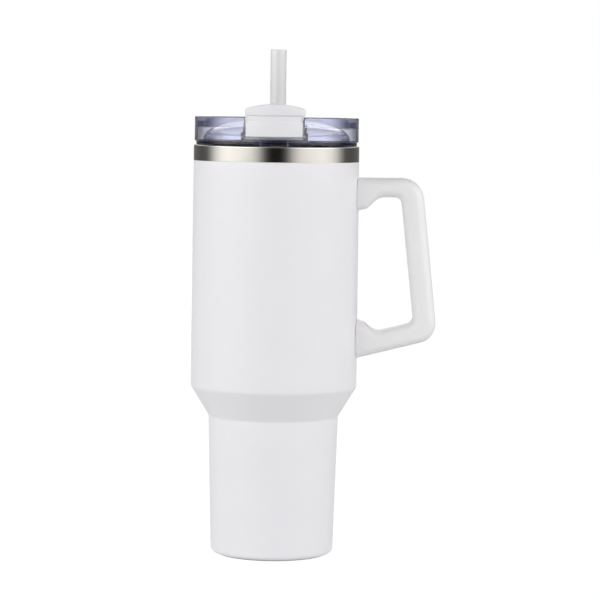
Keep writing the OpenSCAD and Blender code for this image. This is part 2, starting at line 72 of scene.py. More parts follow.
class Join(Enum):
    """How two closed meshes are combined."""

    ADD = "UNION"
    CUT = "DIFFERENCE"
    KEEP = "INTERSECT"


class Body(Enum):
    """The bodies of the frame that pieces ride on."""

    CUP = "cup"
    LID = "lid"
    SLIDE = "slide"
    STRAW = "straw"


# ---------------------------------------------------------------- finishes


def linear(shade: str) -> tuple[float, float, float, float]:
    """Turns an sRGB hex value to linear light.

    Args:
        shade: Six hex digits, red first.

    Returns:
        Linear red, green and blue, and an alpha of 1.
    """
    parts = [int(shade[i : i + 2], 16) / 255 for i in (0, 2, 4)]
    red, green, blue = (c / 12.92 if c <= 0.04045 else ((c + 0.055) / 1.055) ** 2.4 for c in parts)
    return red, green, blue, 1.0


def add_node(
    tree: bpy.types.NodeTree, kind: str, inputs: dict | None = None, **settings: object
) -> bpy.types.Node:
    """Adds one node with its settings, and sets or links its inputs.

    Args:
        tree: The node tree.
        kind: The node's type name.
        inputs: Socket name or index to a value, or to the socket that feeds it.
        **settings: The node's own properties.

    Returns:
        The new node.
    """
    node = tree.nodes.new(kind)
    for name, value in settings.items():
        setattr(node, name, value)
    for key, value in (inputs or {}).items():
        if isinstance(value, bpy.types.NodeSocket):
            tree.links.new(value, node.inputs[key])
        else:
            node.inputs[key].default_value = value
    return node


@dataclass(frozen=True)
class Finish:
    """A surface finish on Object coordinates: a mottled colour, a roughness map and a fine relief.

    The colour runs between shade and second with a slow noise of size mottle, the roughness between
    its two ends with the same noise and the grain, and the relief is a noise of size grain.
    """

    name: str
    shade: str
    second: str
    roughness: tuple[float, float]
    mottle: float = 18.0
    grain: float = 0.9
    relief: float = 0.01
    metallic: float = 0.0
    ior: float = 1.5
    extras: tuple[tuple[str, float], ...] = ()

    def place(self, tree: bpy.types.NodeTree) -> bpy.types.NodeSocket:
        """Gives the coordinates that the grain is drawn on, in metres."""
        return add_node(tree, "ShaderNodeTexCoord").outputs["Object"]

    def finish_off(self, tree: bpy.types.NodeTree, output: bpy.types.Node) -> None:
        """Adds what only some finishes have, such as a tinted volume."""

    def material(self) -> bpy.types.Material:
        """Builds the material once, and gives the same one afterwards.

        Returns:
            The Blender material of this finish.
        """
        made = bpy.data.materials.get(self.name)
        if made:
            return made
        made = bpy.data.materials.new(self.name)
        made.use_nodes = True
        made.diffuse_color = linear(self.shade)
        tree = made.node_tree
        tree.nodes.clear()
        flat = add_node(tree, "ShaderNodeTexCoord").outputs["Object"]
        slow = add_node(
            tree, "ShaderNodeTexNoise", {"Vector": flat, "Scale": 1 / (self.mottle * MM), "Detail": 3.0}
        )
        fine = add_node(
            tree,
            "ShaderNodeTexNoise",
            {"Vector": self.place(tree), "Scale": 1 / (self.grain * MM), "Detail": 2.0},
        )
        colour = add_node(
            tree,
            "ShaderNodeMix",
            {0: slow.outputs[0], 6: linear(self.shade), 7: linear(self.second)},
            data_type="RGBA",
        )
        blend = add_node(
            tree, "ShaderNodeMix", {0: GRAIN_SHARE, 2: slow.outputs[0], 3: fine.outputs[0]}, data_type="FLOAT"
        )
        rough = add_node(
            tree,
            "ShaderNodeMapRange",
            {"Value": blend.outputs[0], "From Min": NOISE_SPAN[0], "From Max": NOISE_SPAN[1],
             "To Min": self.roughness[0], "To Max": self.roughness[1]},
        )
        bump = add_node(
            tree, "ShaderNodeBump", {"Height": fine.outputs[0], "Distance": self.relief * MM, "Strength": 1.0}
        )
        shader = add_node(
            tree,
            "ShaderNodeBsdfPrincipled",
            {"Base Color": colour.outputs[2], "Roughness": rough.outputs[0], "Normal": bump.outputs[0],
             "Metallic": self.metallic, **dict(self.extras)},
        )
        if not self.metallic:
            shader.inputs["IOR"].default_value = self.ior
        output = add_node(tree, "ShaderNodeOutputMaterial", {"Surface": shader.outputs[0]})
        self.finish_off(tree, output)
        return made


@dataclass(frozen=True)
class TurnedSteel(Finish):
    """Steel brushed while it spins: fine rings that follow the height and the radius."""

    x_share: float = 0.02

    def place(self, tree: bpy.types.NodeTree) -> bpy.types.NodeSocket:
        """Gives (radius, a little of x, height), so that the noise is stretched around the axis.

        Args:
            tree: The material's node tree.

        Returns:
            The socket of the coordinates.
        """
        flat = add_node(tree, "ShaderNodeTexCoord").outputs["Object"]
        split = add_node(tree, "ShaderNodeSeparateXYZ", {0: flat})
        level = add_node(tree, "ShaderNodeCombineXYZ", {0: split.outputs[0], 1: split.outputs[1]})
        radius = add_node(tree, "ShaderNodeVectorMath", {0: level.outputs[0]}, operation="LENGTH")
        little = add_node(
            tree, "ShaderNodeMath", {0: split.outputs[0], 1: self.x_share}, operation="MULTIPLY"
        )
        return add_node(
            tree,
            "ShaderNodeCombineXYZ",
            {0: radius.outputs["Value"], 1: little.outputs[0], 2: split.outputs[2]},
        ).outputs[0]


@dataclass(frozen=True)
class TintedClear(Finish):
    """A clear plastic that is tinted all through, so that thick parts are darker than thin ones."""

    tint: str = "8088A8"
    depth: float = 60.0

    def finish_off(self, tree: bpy.types.NodeTree, output: bpy.types.Node) -> None:
        """Fills the plastic with an absorbing tint; depth is its density per metre."""
        inside = add_node(
            tree, "ShaderNodeVolumeAbsorption", {"Color": linear(self.tint), "Density": self.depth}
        )
        tree.links.new(inside.outputs[0], output.inputs["Volume"])


# Polyester powder coat, baked: white, satin, with a faint orange peel of about a millimetre
POWDER_COAT = Finish(
    "white_powder_coat", "F1F0F4", "EDECF1", (0.38, 0.46), mottle=30, grain=1.1, relief=0.012,
    extras=(("Specular IOR Level", 0.5),),
)
# 304 stainless, lathe brushed: rings a quarter of a millimetre apart that smear highlights upwards
BRUSHED_STEEL = TurnedSteel(
    "brushed_stainless_steel", "BAB7B2", "B0ADA8", (0.07, 0.13), mottle=20, grain=0.35, relief=0.0008,
    metallic=1,
)
# 304 stainless, electropolished inside: softer and brighter than the outside
POLISHED_STEEL = TurnedSteel(
    "electropolished_stainless_steel", "C9C8C6", "BDBCBA", (0.22, 0.32), mottle=14, grain=0.5, relief=0.001,
    metallic=1,
)
# Copper foil, rolled and wrapped by hand: warm, with shallow creases
COPPER_FOIL = Finish(
    "rolled_copper_foil", "C98A63", "B5764F", (0.25, 0.4), mottle=9, grain=3, relief=0.06, metallic=1
)
# Zirconium getter pill, pressed from powder: dark and matt
GETTER_PILL = Finish("sintered_getter", "4A4B4D", "3C3D40", (0.75, 0.9), mottle=2, grain=0.25, relief=0.03)
# Glass solder bead that closes the vacuum hole: dark and glossy
GLASS_SOLDER = Finish(
    "glass_solder", "3A3C40", "2D2F33", (0.12, 0.25), mottle=2, grain=0.8, relief=0.01, ior=1.6
)
# Spring and bracket steel, pickled: pale and dull
PICKLED_STEEL = Finish(
    "pickled_steel", "B4B2AE", "A5A39F", (0.32, 0.46), mottle=6, grain=0.4, relief=0.006, metallic=1
)
# ABS with a soft-touch lacquer: white, satin, almost without gloss
SOFT_TOUCH = Finish(
    "soft_touch_white_abs", "F6F5F7", "F2F1F3", (0.34, 0.42), mottle=24, grain=0.5, relief=0.004,
    extras=(("Specular IOR Level", 0.7),),
)
# Glass-filled nylon core of the handle: grey, with a mottled moulded skin
FILLED_NYLON = Finish(
    "glass_filled_nylon", "8B8D90", "7C7E82", (0.5, 0.65), mottle=5, grain=0.4, relief=0.015
)
# ABS with a satin moulded skin: whiter and glossier than the handle
SATIN_ABS = Finish("satin_white_abs", "ECECF0", "E8E8ED", (0.3, 0.38), mottle=16, grain=0.35, relief=0.003)
# Food-grade silicone rubber: milky, matt, with a little light passing through
SILICONE = Finish(
    "milky_silicone", "E6E9EC", "DDE1E5", (0.48, 0.6), mottle=8, grain=0.5, relief=0.006, ior=1.41,
    extras=(("Subsurface Weight", 0.4), ("Subsurface Scale", 0.002)),
)
# Foot pad of the same rubber, filled with grey
PAD_RUBBER = Finish(
    "grey_silicone_pad", "C9CBCE", "BEC0C4", (0.6, 0.72), mottle=8, grain=0.6, relief=0.012, ior=1.41
)
# Tritan copolyester with a smoke-blue tint, polished mould
SMOKE_TRITAN = TintedClear(
    "smoke_blue_tritan", "FFFFFF", "FCFCFF", (0.02, 0.035), mottle=20, grain=2.5, relief=0.001, ior=1.54,
    extras=(("Transmission Weight", 1.0),), tint="6474C8", depth=82.0,
)
# Polypropylene straw, extruded: milky, so that light passes but no picture does
MILKY_PP = TintedClear(
    "milky_polypropylene", "FFFFFF", "FBFBFD", (0.14, 0.2), mottle=10, grain=0.6, relief=0.003, ior=1.49,
    extras=(("Transmission Weight", 0.25),), tint="F4F4F8", depth=12.0,
)


# ---------------------------------------------------------------- shapes


@dataclass(frozen=True)
class Shape:
    """Points in millimetres, and the faces between them as lists of point numbers."""

    points: np.ndarray
    faces: list

    def facing_out(self) -> "Shape":
        """Turns every face round if the enclosed volume comes out negative.

        The volume is the sum over fan triangles of p0 . (p1 x p2) / 6.

        Returns:
            The same closed shape with its faces pointing outwards.
        """
        total = 0.0
        for count in (3, 4):
            faces = np.array([f for f in self.faces if len(f) == count], int).reshape(-1, count)
            for k in range(1, count - 1):
                a, b, c = (self.points[faces[:, i]] for i in (0, k, k + 1))
                total += float(np.einsum("ij,ij->", a, np.cross(b, c)))
        return self if total > 0 else Shape(self.points, [f[::-1] for f in self.faces])

    def plus(self, *others: "Shape") -> "Shape":
        """Gives one shape of this one and others that overlap or touch it.

        Args:
            *others: The shapes to add.

        Returns:
            A shape with the points and faces of all of them.
        """
        points, faces, start = [self.points], list(self.faces), len(self.points)
        for other in others:
            faces += [[i + start for i in f] for f in other.faces]
            points.append(other.points)
            start += len(other.points)
        return Shape(np.vstack(points), faces)


def grid_faces(rows: int, cols: int, wrap: bool) -> list[list[int]]:
    """Quads of a grid whose columns close on themselves.

    Args:
        rows: Number of rows of points.
        cols: Number of points in a row.
        wrap: True if the last row joins the first.

    Returns:
        Lists of four point numbers, row by row.
    """
    r = np.arange(rows if wrap else rows - 1)[:, None]
    c = np.arange(cols)[None, :]
    up, side = (r + 1) % rows, (c + 1) % cols
    quads = np.stack([r * cols + c, r * cols + side, up * cols + side, up * cols + c], axis=-1)
    return quads.reshape(-1, 4).tolist()


def fan_faces(first: int, cols: int, pole: int) -> list[list[int]]:
    """Triangles from the row that starts at point number first to the point number pole."""
    c = np.arange(cols)
    return np.stack([first + c, first + (c + 1) % cols, np.full(cols, pole)], axis=-1).tolist()


def loft(rings: np.ndarray, ends: bool = True) -> Shape:
    """Skins a stack of closed rings, and closes its two ends with fans to their middles.

    Args:
        rings: Array of rings, points and coordinates.
        ends: False if the last ring joins the first.

    Returns:
        A closed shape.
    """
    rows, cols = rings.shape[:2]
    points = rings.reshape(-1, 3)
    faces = grid_faces(rows, cols, not ends)
    if ends:
        points = np.vstack([points, rings[0].mean(0), rings[-1].mean(0)])
        faces += [f[::-1] for f in fan_faces(0, cols, rows * cols)]
        faces += fan_faces((rows - 1) * cols, cols, rows * cols + 1)
    return Shape(points, faces).facing_out()


def spin(
    profile: np.ndarray, middle: tuple[float, float] = (0.0, 0.0), segments: int = SEGMENTS
) -> Shape:
    """Turns a profile of (radius, height) about the upright line through middle.

    A point is (x0 + r cos a, y0 + r sin a, z). A profile that starts and ends on the axis is closed
    there by poles, and any other profile is a loop.

    Args:
        profile: Array of (radius, height).
        middle: Place of the axis.
        segments: Number of steps around.

    Returns:
        A closed shape.
    """
    on_axis = profile[0, 0] < 1e-6 and profile[-1, 0] < 1e-6
    rows = profile[1:-1] if on_axis else profile
    a = np.linspace(0, 2 * np.pi, segments, endpoint=False)
    r, z = rows[:, :1], rows[:, 1:]
    points = np.stack([middle[0] + r * np.cos(a), middle[1] + r * np.sin(a), z + 0 * a], axis=-1)
    points = points.reshape(-1, 3)
    faces = grid_faces(len(rows), segments, not on_axis)
    if on_axis:
        poles = [[middle[0], middle[1], profile[0, 1]], [middle[0], middle[1], profile[-1, 1]]]
        last = (len(rows) - 1) * segments
        faces += [f[::-1] for f in fan_faces(0, segments, len(points))]
        faces += fan_faces(last, segments, len(points) + 1)
        points = np.vstack([points, poles])
    return Shape(points, faces).facing_out()


def corner_arc(a: np.ndarray, p: np.ndarray, b: np.ndarray, r: float, steps: int = 8) -> np.ndarray:
    """Arc of radius r that rounds corner p between a and b.

    Its centre is on the bisector at r / sin(half angle), and its ends are r / tan(half angle) from p.

    Args:
        a: The point before the corner.
        p: The corner.
        b: The point after it.
        r: The arc's radius; with none, or on a straight path, the corner stays as it is.
        steps: Steps of the arc.

    Returns:
        The arc's points, from a's side to b's side.
    """
    u, v = (a - p) / np.linalg.norm(a - p), (b - p) / np.linalg.norm(b - p)
    half = math.acos(float(np.clip(u @ v, -1, 1))) / 2
    if r <= 0 or half > math.pi / 2 - 1e-4:
        return p[None, :]
    centre = p + (u + v) / np.linalg.norm(u + v) * r / math.sin(half)
    start, end = p + u * r / math.tan(half) - centre, p + v * r / math.tan(half) - centre
    turn = np.linspace(0, math.atan2(start[0] * end[1] - start[1] * end[0], start @ end), steps + 1)[:, None]
    return centre + np.cos(turn) * start + np.sin(turn) * np.array([-start[1], start[0]])


def rounded(path: list | np.ndarray, radii: list[float], steps: int = 8, closed: bool = False) -> np.ndarray:
    """Rounds the corners of a path; an open path keeps its two end points.

    Args:
        path: Points of the path.
        radii: One radius for each point.
        steps: Steps of each arc.
        closed: True if the path is a loop, whose every corner is rounded.

    Returns:
        The points of the rounded path.
    """
    p = np.array(path, float)
    last = len(p) - 1
    bends = [
        p[i][None, :]
        if not closed and i in (0, last)
        else corner_arc(p[i - 1], p[i], p[(i + 1) % len(p)], r, steps)
        for i, r in enumerate(radii)
    ]
    return np.vstack(bends)


def lefts(path: np.ndarray) -> np.ndarray:
    """Unit vectors to the left of each stretch of a path: (-dy, dx) of the stretch, over its length.

    Args:
        path: Points of the path.

    Returns:
        One vector for each stretch.
    """
    d = np.diff(path, axis=0)
    d = d / np.linalg.norm(d, axis=1)[:, None]
    return np.stack([-d[:, 1], d[:, 0]], axis=1)


def moved_in(path: np.ndarray, d: float) -> np.ndarray:
    """Moves a path to its left with mitred corners.

    A corner moves by m 2d / |m|^2, where m is the sum of the lefts of its two stretches.

    Args:
        path: Points of the path.
        d: How far it moves.

    Returns:
        The moved points.
    """
    n = lefts(path)
    m = np.vstack([n[:1], n]) + np.vstack([n, n[-1:]])
    return path + m * (2 * d / np.einsum("ij,ij->i", m, m))[:, None]


def arc(centre: tuple[float, float], r: float, start: float, end: float, steps: int = 10) -> np.ndarray:
    """Points around centre at radius r, from angle start to angle end in degrees."""
    a = np.radians(np.linspace(start, end, steps + 1))[:, None]
    return np.array(centre) + r * np.hstack([np.cos(a), np.sin(a)])


def dense(path: np.ndarray, step: float) -> np.ndarray:
    """Adds points along the straight stretches, so that none is longer than step.

    Args:
        path: Points of the path.
        step: The longest stretch that is left.

    Returns:
        The path with the added points.
    """
    parts = []
    for a, b in zip(path[:-1], path[1:]):
        count = max(1, math.ceil(np.linalg.norm(b - a) / step))
        parts.append(a + (b - a) * np.linspace(0, 1, count, endpoint=False)[:, None])
    return np.vstack([*parts, path[-1:]])


def soft_rectangle(half_a: float, half_b: float, r: float, steps: int = 8) -> np.ndarray:
    """Loop of a rectangle with round corners, as (a, b), anticlockwise from the right side.

    Each corner is an arc c + r (cos t, sin t) on its own quarter.

    Args:
        half_a: Half its width.
        half_b: Half its height.
        r: Radius of its corners, which is cut to less than either half.
        steps: Steps of each corner.

    Returns:
        The points of the loop.
    """
    r = min(r, half_a - 1e-3, half_b - 1e-3)
    t = np.radians(np.linspace(0, 90, steps + 1))
    quarters = [
        np.stack([sx * (half_a - r) + r * np.cos(t + turn), sy * (half_b - r) + r * np.sin(t + turn)], axis=1)
        for sx, sy, turn in ((1, 1, 0), (-1, 1, np.pi / 2), (-1, -1, np.pi), (1, -1, 1.5 * np.pi))
    ]
    return np.vstack(quarters)


def edge_steps(r: float, steps: int = 5) -> np.ndarray:
    """Rounded edge of a block as (how far in, how far down) from its flat end: r(1 - sin t), r(1 - cos t)."""
    t = np.radians(np.linspace(0, 90, steps + 1))
    return np.stack([r * (1 - np.sin(t)), r * (1 - np.cos(t))], axis=1)


def edge_levels(low: float, high: float, edge: float) -> list[tuple[float, float]]:
    """Levels of a block with round top and bottom edges, upwards, as (how far in, height).

    Args:
        low: Height of its bottom.
        high: Height of its top.
        edge: Radius of its edges.

    Returns:
        One pair for each ring of the block.
    """
    steps = edge_steps(edge)
    return [(inset, low + d) for inset, d in steps] + [(inset, high - d) for inset, d in steps[::-1]]


def at_height(plan: np.ndarray, z: float) -> np.ndarray:
    """Lays a loop of (x, y) at height z."""
    return np.column_stack([plan, np.full(len(plan), z)])


def soft_box(low: list[float], high: list[float], corner_r: float, edge: float) -> Shape:
    """Block with round upright corners and round top and bottom edges, as a loft of rings upwards.

    Args:
        low: Its lowest corner.
        high: Its highest corner.
        corner_r: Radius of the upright corners.
        edge: Radius of the top and bottom edges.

    Returns:
        A closed shape.
    """
    low, high = np.array(low, float), np.array(high, float)
    middle, half = (low + high) / 2, (high - low) / 2
    rings = []
    for inset, z in edge_levels(low[2], high[2], edge):
        plan = soft_rectangle(half[0] - inset, half[1] - inset, max(corner_r - inset, LEAST_R))
        rings.append(at_height(plan + middle[:2], z))
    return loft(np.array(rings))


# ---------------------------------------------------------------- pieces


def cad_box(node: str) -> tuple[np.ndarray, np.ndarray]:
    """Lowest and highest corner of a CAD node, in millimetres."""
    low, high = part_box(node)
    return np.array(low) / MM, np.array(high) / MM


def as_object(name: str, shape: Shape) -> bpy.types.Object:
    """Makes a smooth-shaded object of a shape, with its place in its mesh.

    Args:
        name: Name of the object and its mesh.
        shape: The closed shape, in millimetres.

    Returns:
        The object, at the origin.
    """
    mesh = bpy.data.meshes.new(name)
    mesh.from_pydata(shape.points * MM, [], shape.faces)
    mesh.update()
    made = bpy.data.objects.new(name, mesh)
    bpy.context.scene.collection.objects.link(made)
    return made


def combine(target: bpy.types.Object, tool: Shape, how: Join) -> None:
    """Combines a closed shape into an object's mesh, and keeps only the result.

    Args:
        target: The object whose mesh changes.
        tool: The closed shape to combine with it.
        how: The kind of combination.
    """
    other = as_object("tool", tool)
    step = target.modifiers.new("combine", "BOOLEAN")
    step.object, step.operation, step.solver = other, how.value, "EXACT"
    bpy.context.view_layer.update()
    evaluated = target.evaluated_get(bpy.context.evaluated_depsgraph_get())
    made = bpy.data.meshes.new_from_object(evaluated)
    target.modifiers.clear()
    spent = (target.data, other.data)
    target.data = made
    bpy.data.objects.remove(other)
    for mesh in spent:
        bpy.data.meshes.remove(mesh)
    made.name = target.name


def fit_out(
    made: bpy.types.Object, finish: Finish, body: Body, nodes: tuple[str, ...]
) -> bpy.types.Object:
    """Dresses a finished piece and hands it to the frame.

    Args:
        made: The piece.
        finish: Its surface finish.
        body: The body that it rides on.
        nodes: The CAD nodes that it stands for.

    Returns:
        The piece.
    """
    made.data.shade_smooth()
    made.data.set_sharp_from_angle(angle=SHARP_ANGLE)
    made.data.materials.clear()
    made.data.materials.append(finish.material())
    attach(made, body.value)
    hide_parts(*nodes)
    LOG.info("%s: %d faces on %s", made.name, len(made.data.polygons), body.value)
    return made


def dress(node: str, finish: Finish) -> None:
    """Gives a carried-over CAD node its finish.

    Args:
        node: The node's name.
        finish: Its surface finish.
    """
    kept = bpy.data.objects[node]
    kept.data.materials.clear()
    kept.data.materials.append(finish.material())
    LOG.info("%s: kept from the frame, %s", node, finish.name)


@dataclass
class SteelBody:
    """The double-walled steel body with its powder coat, down to the base."""

    foot_r: float = 37.15
    waist_r: float = 39.45
    waist_z: float = 84.4
    shoulder_z: float = 102.4
    top_r: float = 50.05
    foot_bend_r: float = 3.0
    waist_bend_r: float = 2.0
    shoulder_bend_r: float = 4.0
    coat_t: float = 0.2
    sheet_t: float = 0.6
    vacuum_gap: float = 2.4
    rim_r: float = 1.3
    band_proud: float = 0.1
    coat_edge: float = 0.15
    mouth_depth: float = 13.7
    mouth_step: float = 2.0
    liner_bend_r: float = 6.0
    liner_waist_r: float = 5.0
    liner_shoulder_r: float = 4.0
    least_foot_r: float = 0.2
    least_shoulder_r: float = 0.4
    bend_steps: int = 10
    wall_step: float = 12.0
    low_z: float = field(init=False)
    coat_top_z: float = field(init=False)
    rim_z: float = field(init=False)
    liner_floor_z: float = field(init=False)
    base_hole_r: float = field(init=False)
    shoulder_r: float = field(init=False)

    def __post_init__(self) -> None:
        """Takes the levels and the widest radius from the frame."""
        coat_low, coat_high = cad_box("powder_coat")
        self.low_z, self.coat_top_z, self.shoulder_r = coat_low[2], coat_high[2], coat_high[1]
        self.rim_z = cad_box("outer_shell")[1][2]
        self.liner_floor_z = cad_box("inner_liner")[0][2] + self.sheet_t
        self.base_hole_r = cad_box("base_cover")[1][1]

    def corners(self) -> np.ndarray:
        """Corners of the outside, from the base's hole up to the top of the coat."""
        return np.array([
            [self.base_hole_r, self.low_z], [self.foot_r, self.low_z], [self.waist_r, self.waist_z],
            [self.shoulder_r, self.shoulder_z], [self.top_r, self.coat_top_z],
        ])

    def skin(self, d: float) -> np.ndarray:
        """The outside moved in, with each bend's radius changed by the same length.

        Args:
            d: How far it is moved in.

        Returns:
            Its points as (radius, height), upwards.
        """
        foot = max(self.foot_bend_r - d, self.least_foot_r)
        shoulder = max(self.shoulder_bend_r - d, self.least_shoulder_r)
        radii = [0, foot, self.waist_bend_r + d, shoulder, 0]
        return dense(rounded(moved_in(self.corners(), d), radii, self.bend_steps), self.wall_step)

    def radius_at(self, z: np.ndarray) -> np.ndarray:
        """Radius of the straight upper wall at height z."""
        share = (z - self.shoulder_z) / (self.coat_top_z - self.shoulder_z)
        return self.shoulder_r + (self.top_r - self.shoulder_r) * share

    def coat(self) -> bpy.types.Object:
        """The coat: the skin, a small round edge at its top, and the skin moved in by its thickness.

        Returns:
            The coat's object.
        """
        outside, inside = self.skin(0), self.skin(self.coat_t)
        e = self.coat_edge
        edge = arc((self.top_r - e, self.coat_top_z - e), e, 0, 90, 4)
        shape = spin(np.vstack([outside[:-1], edge, inside[::-1]]))
        made = as_object("powder_coat_skin", shape)
        return fit_out(made, POWDER_COAT, Body.CUP, ("powder_coat",))

    def shell(self) -> bpy.types.Object:
        """The outer sheet: under the coat, out to the bare band, and over the rim's outer quarter.

        Returns:
            The shell's object.
        """
        band_r = self.top_r + self.band_proud
        rim = (band_r - self.rim_r, self.rim_z - self.rim_r)
        loop = np.vstack([
            self.skin(self.coat_t), [[band_r, self.coat_top_z]], arc(rim, self.rim_r, 0, 90),
            arc(rim, self.rim_r - self.sheet_t, 90, 0), [[band_r - self.sheet_t, self.coat_top_z]],
            self.skin(self.coat_t + self.sheet_t)[::-1],
        ])
        made = as_object("steel_shell", spin(loop))
        return fit_out(made, BRUSHED_STEEL, Body.CUP, ("outer_shell",))

    def liner_side(self, d: float, floor_z: float, bend: float) -> np.ndarray:
        """The liner's floor and side inside the body, up to the step below the mouth.

        Args:
            d: Its depth inside the body's outside.
            floor_z: Height of its floor.
            bend: Radius of the bend between floor and side.

        Returns:
            Its points as (radius, height), from the axis upwards.
        """
        wall = moved_in(self.corners(), d)
        step_z = self.rim_z - self.mouth_depth - self.mouth_step
        foot_x = np.interp(floor_z, wall[1:3, 1], wall[1:3, 0])
        top_x = np.interp(step_z, wall[3:5, 1], wall[3:5, 0])
        path = [[0, floor_z], [foot_x, floor_z], wall[2], wall[3], [top_x, step_z]]
        radii = [0, bend, self.liner_waist_r, self.liner_shoulder_r, 0]
        return dense(rounded(path, radii, self.bend_steps), self.wall_step)

    def liner(self) -> bpy.types.Object:
        """The inner sheet: floor, side, the step out to the mouth, and the rim's inner quarter.

        Returns:
            The liner's object.
        """
        t = self.sheet_t
        depth = self.coat_t + self.sheet_t + self.vacuum_gap
        band_r = self.top_r + self.band_proud
        rim, mouth_r = (band_r - self.rim_r, self.rim_z - self.rim_r), band_r - 2 * self.rim_r
        mouth_z = self.rim_z - self.mouth_depth
        loop = np.vstack([
            self.liner_side(depth + t, self.liner_floor_z, self.liner_bend_r), [[mouth_r, mouth_z]],
            arc(rim, self.rim_r, 180, 90), arc(rim, self.rim_r - t, 90, 180),
            [[mouth_r + t, mouth_z - t / 2]],
            self.liner_side(depth, self.liner_floor_z - t, self.liner_bend_r + t)[::-1],
        ])
        made = as_object("steel_liner", spin(loop))
        return fit_out(made, POLISHED_STEEL, Body.CUP, ("inner_liner",))

    def build(self) -> None:
        """Makes the coat, the shell and the liner, and dresses what lies between the two walls."""
        self.coat()
        self.shell()
        self.liner()
        dress("copper_foil", COPPER_FOIL)
        dress("getter", GETTER_PILL)
        dress("getter_clip", PICKLED_STEEL)
        dress("vacuum_seal", GLASS_SOLDER)


@dataclass
class Base:
    """What closes the foot: the bottom disc, the spun cover and the soft pad."""

    edge: float = 0.5
    top_edge: float = 0.2
    tread_count: int = 4
    tread_w: float = 1.0
    tread_depth: float = 0.4
    tread_round: float = 0.18

    def pad(self) -> bpy.types.Object:
        """The pad: a disc with a rounded lower edge and evenly spaced round tread grooves.

        Returns:
            The pad's object.
        """
        _, r, t = cad_box("foot_pad")[1]
        path, radii = [[0, 0]], [0.0]
        for middle in (r * (i + 1) / (self.tread_count + 1) for i in range(self.tread_count)):
            for x, z in ((-1, 0), (-1, 1), (1, 1), (1, 0)):
                path.append([middle + x * self.tread_w / 2, z * self.tread_depth])
                radii.append(self.tread_round)
        path += [[r, 0], [r, t], [0, t]]
        radii += [self.edge, self.top_edge, 0]
        made = as_object("soft_foot_pad", spin(rounded(path, radii, 5)))
        return fit_out(made, PAD_RUBBER, Body.CUP, ("foot_pad",))

    def build(self) -> None:
        """Makes the pad and dresses the steel above it."""
        self.pad()
        dress("base_cover", BRUSHED_STEEL)
        dress("bottom_disc", PICKLED_STEEL)


